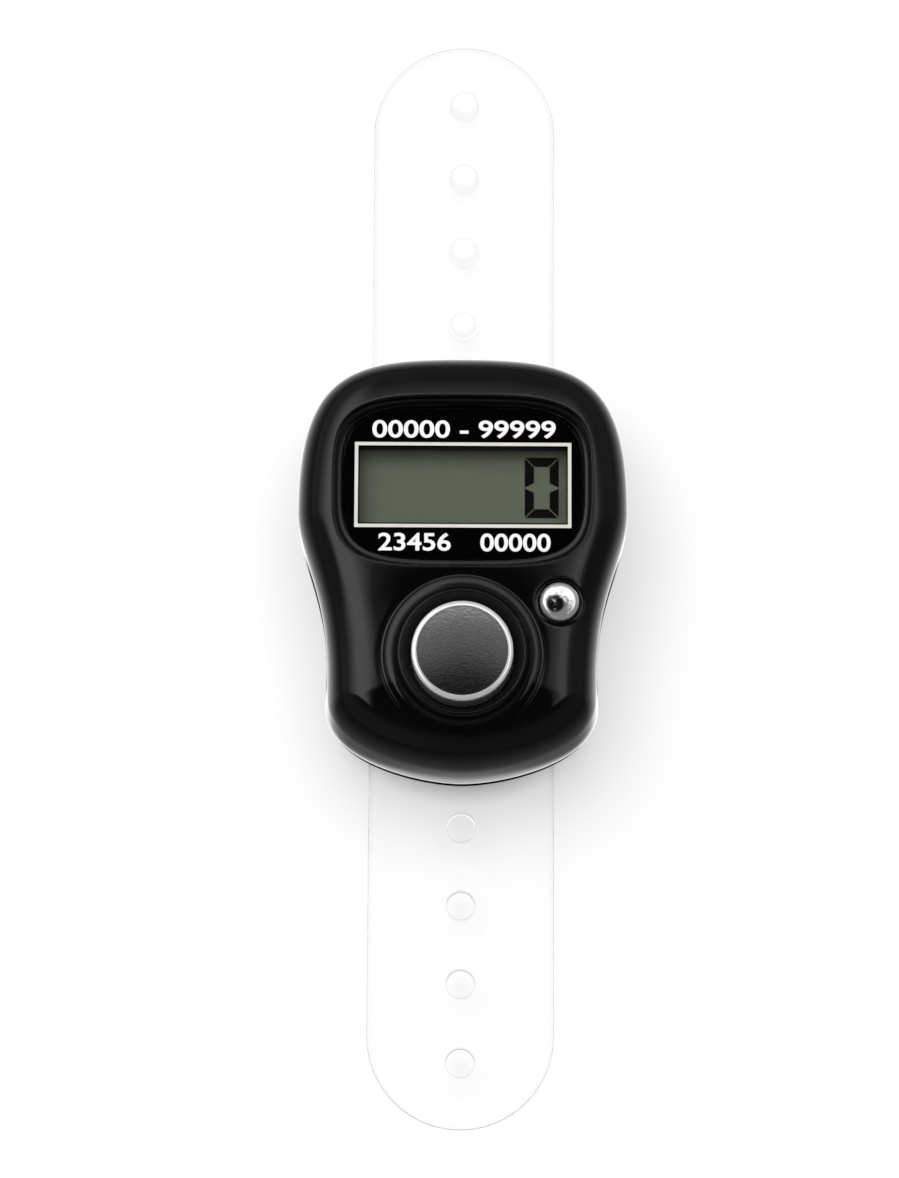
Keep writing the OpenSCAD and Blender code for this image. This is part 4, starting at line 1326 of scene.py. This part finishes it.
def floor():
    side, low = 3.0, -0.00002
    mesh = bpy.data.meshes.new("floor")
    corners = rectangle((-side, -side), (side, side))
    mesh.from_pydata([(x, y, low) for x, y in corners], [], [(0, 1, 2, 3)])
    material, tree, shader = shader_tree("pale_floor")
    for key, value in {"Base Color": (0.95, 0.95, 0.95), "Roughness": 0.9, "Specular IOR Level": 0.0}.items():
        feed(tree, shader.inputs[key], value)
    rays = node(tree, "LightPath").outputs
    seen = maths(tree, "ADD", rays["Is Camera Ray"], rays["Is Glossy Ray"])
    seen = maths(tree, "ADD", seen, rays["Is Transmission Ray"], clamp=True)
    # Painted light: what gloss mirrors of the floor is a glow set by reach, a painted shadow under the case,
    # white close by and grey further out
    where = piece_place(tree)
    reach = flat_reach(tree, where, (1.25, 1.0))
    scaled = maths(tree, "DIVIDE", reach, FLOOR_FADE)
    around = soft_step(tree, node(tree, "SeparateXYZ", where).outputs["Y"], -0.018, -0.008)
    front, sides = (height_ramp(tree, scaled, [(at / FLOOR_FADE, value) for at, value in stops])
                    for stops in (FRONT_PAINTED_GLOW, SIDE_PAINTED_GLOW))
    mirrored = node(tree, "Emission", mixed(tree, around, front, sides))
    # Painted shadow: the floor's own glow is weaker close under the chin, which deepens the shadow there
    close = ranged(tree, reach, 0.016, 0.0198, 0.08, FLOOR_GLOW)
    level = mixed(tree, around, close, FLOOR_GLOW, "FLOAT")
    share = maths(tree, "MULTIPLY", seen, level)
    lit = node(tree, "MixShader", share, shader, node(tree, "Emission", Strength=1.0))
    show(tree, node(tree, "MixShader", mirrored_ray(tree, rays), lit, mirrored))
    mesh.materials.append(material)
    ground = put("floor", mesh)


# Height as a share of straight up, and brightness, of the panel's parts, the spot overhead and the front
OVERHEAD = [(0.953, 0.16), (0.974, 0.115), (0.985, 0.05), (0.9925, 0.01)]
LEFT = [(0.0, 0.16), (0.34, 0.17), (0.50, 0.36), (0.643, 0.60), (0.766, 0.9), (0.85, 1.0), (0.906, 1.0),
        (0.93, 0.6)]
BACK = [(0.0, 0.15), (0.70, 0.16), (0.755, 0.3), (0.79, 0.42), (0.82, 0.65), (0.855, 0.95), (0.906, 1.0),
        (0.93, 0.6)]
RIGHT = [(0.0, 0.16), (0.60, 0.18), (0.74, 0.32), (0.80, 0.66), (0.84, 0.95), (0.885, 1.0), (0.912, 0.6),
         (0.93, 0.42)]
FRONT = [(0.0, 0.1), (0.50, 0.095), (0.65, 0.08), (0.75, 0.045), (0.85, 0.025), (0.953, 0.02), (0.9925, 0.01)]
# How far the panel comes forward, by the share to either side
WINGS = [(0.0, 0.0), (0.2, 0.0), (0.34, 0.36), (0.75, 0.1), (1.0, 0.0)]


def surroundings():
    """A dark spot overhead, and a broad soft panel from the left round the back to the right."""
    world = bpy.data.worlds.new("studio")
    SCENE.world = world
    world.use_nodes = True
    tree = world.node_tree
    x, y, z = node(tree, "SeparateXYZ", node(tree, "TexCoord").outputs["Generated"]).outputs
    panel, back, right = (height_ramp(tree, z, stops + OVERHEAD) for stops in (LEFT, BACK, RIGHT))
    for low, high, beside in ((-0.36, -0.14, back), (0.08, 0.34, right)):
        panel = mixed(tree, soft_step(tree, x, low, high), panel, beside)
    wings = height_ramp(tree, maths(tree, "ABSOLUTE", x), WINGS)
    behind = soft_step(tree, maths(tree, "ADD", y, wings), 0.03, 0.2)
    whole = mixed(tree, behind, height_ramp(tree, z, FRONT), panel)
    tilt = ranged(tree, x, -0.45, 0.0, 1.65, 1.15)
    background = tree.nodes["Background"]
    feed(tree, background.inputs["Color"], (1, 1, 1))
    feed(tree, background.inputs["Strength"], maths(tree, "MULTIPLY", whole, tilt))


def lamp(name, place, size, power):
    light = bpy.data.lights.new(name, "AREA")
    light.shape = "DISK"
    light.size = size
    light.energy = power
    holder = put(name, light)
    holder.location = place
    holder.rotation_mode = "QUATERNION"
    holder.rotation_quaternion = (-Vector(place)).to_track_quat("-Z", "Y")
    holder.visible_glossy = False
    holder.visible_transmission = False


def camera():
    tilt = math.radians(13.0)
    distance = 0.440
    aim = Vector((-0.00114, 0.00024, 0.0))
    roll = math.radians(0.3)
    pixels_per_metre = 11050.0
    frame_height = 1178.0
    lens = bpy.data.cameras.new("photo_view")
    lens.sensor_width = 36.0
    lens.lens = lens.sensor_width * pixels_per_metre * distance / frame_height
    lens.clip_start = 0.01
    lens.clip_end = 10.0
    holder = put("photo_view", lens)
    back = Vector((0, -math.sin(tilt), math.cos(tilt)))
    holder.location = aim + back * distance
    holder.rotation_mode = "QUATERNION"
    holder.rotation_quaternion = (-back).to_track_quat("-Z", "Y") @ Quaternion((0, 0, 1), roll)
    SCENE.camera = holder


floor()
surroundings()
lamp("soft_lamp", (-0.07, 0.22, 0.9), 1.2, 9.6)
camera()
SCENE.view_settings.view_transform = "Standard"
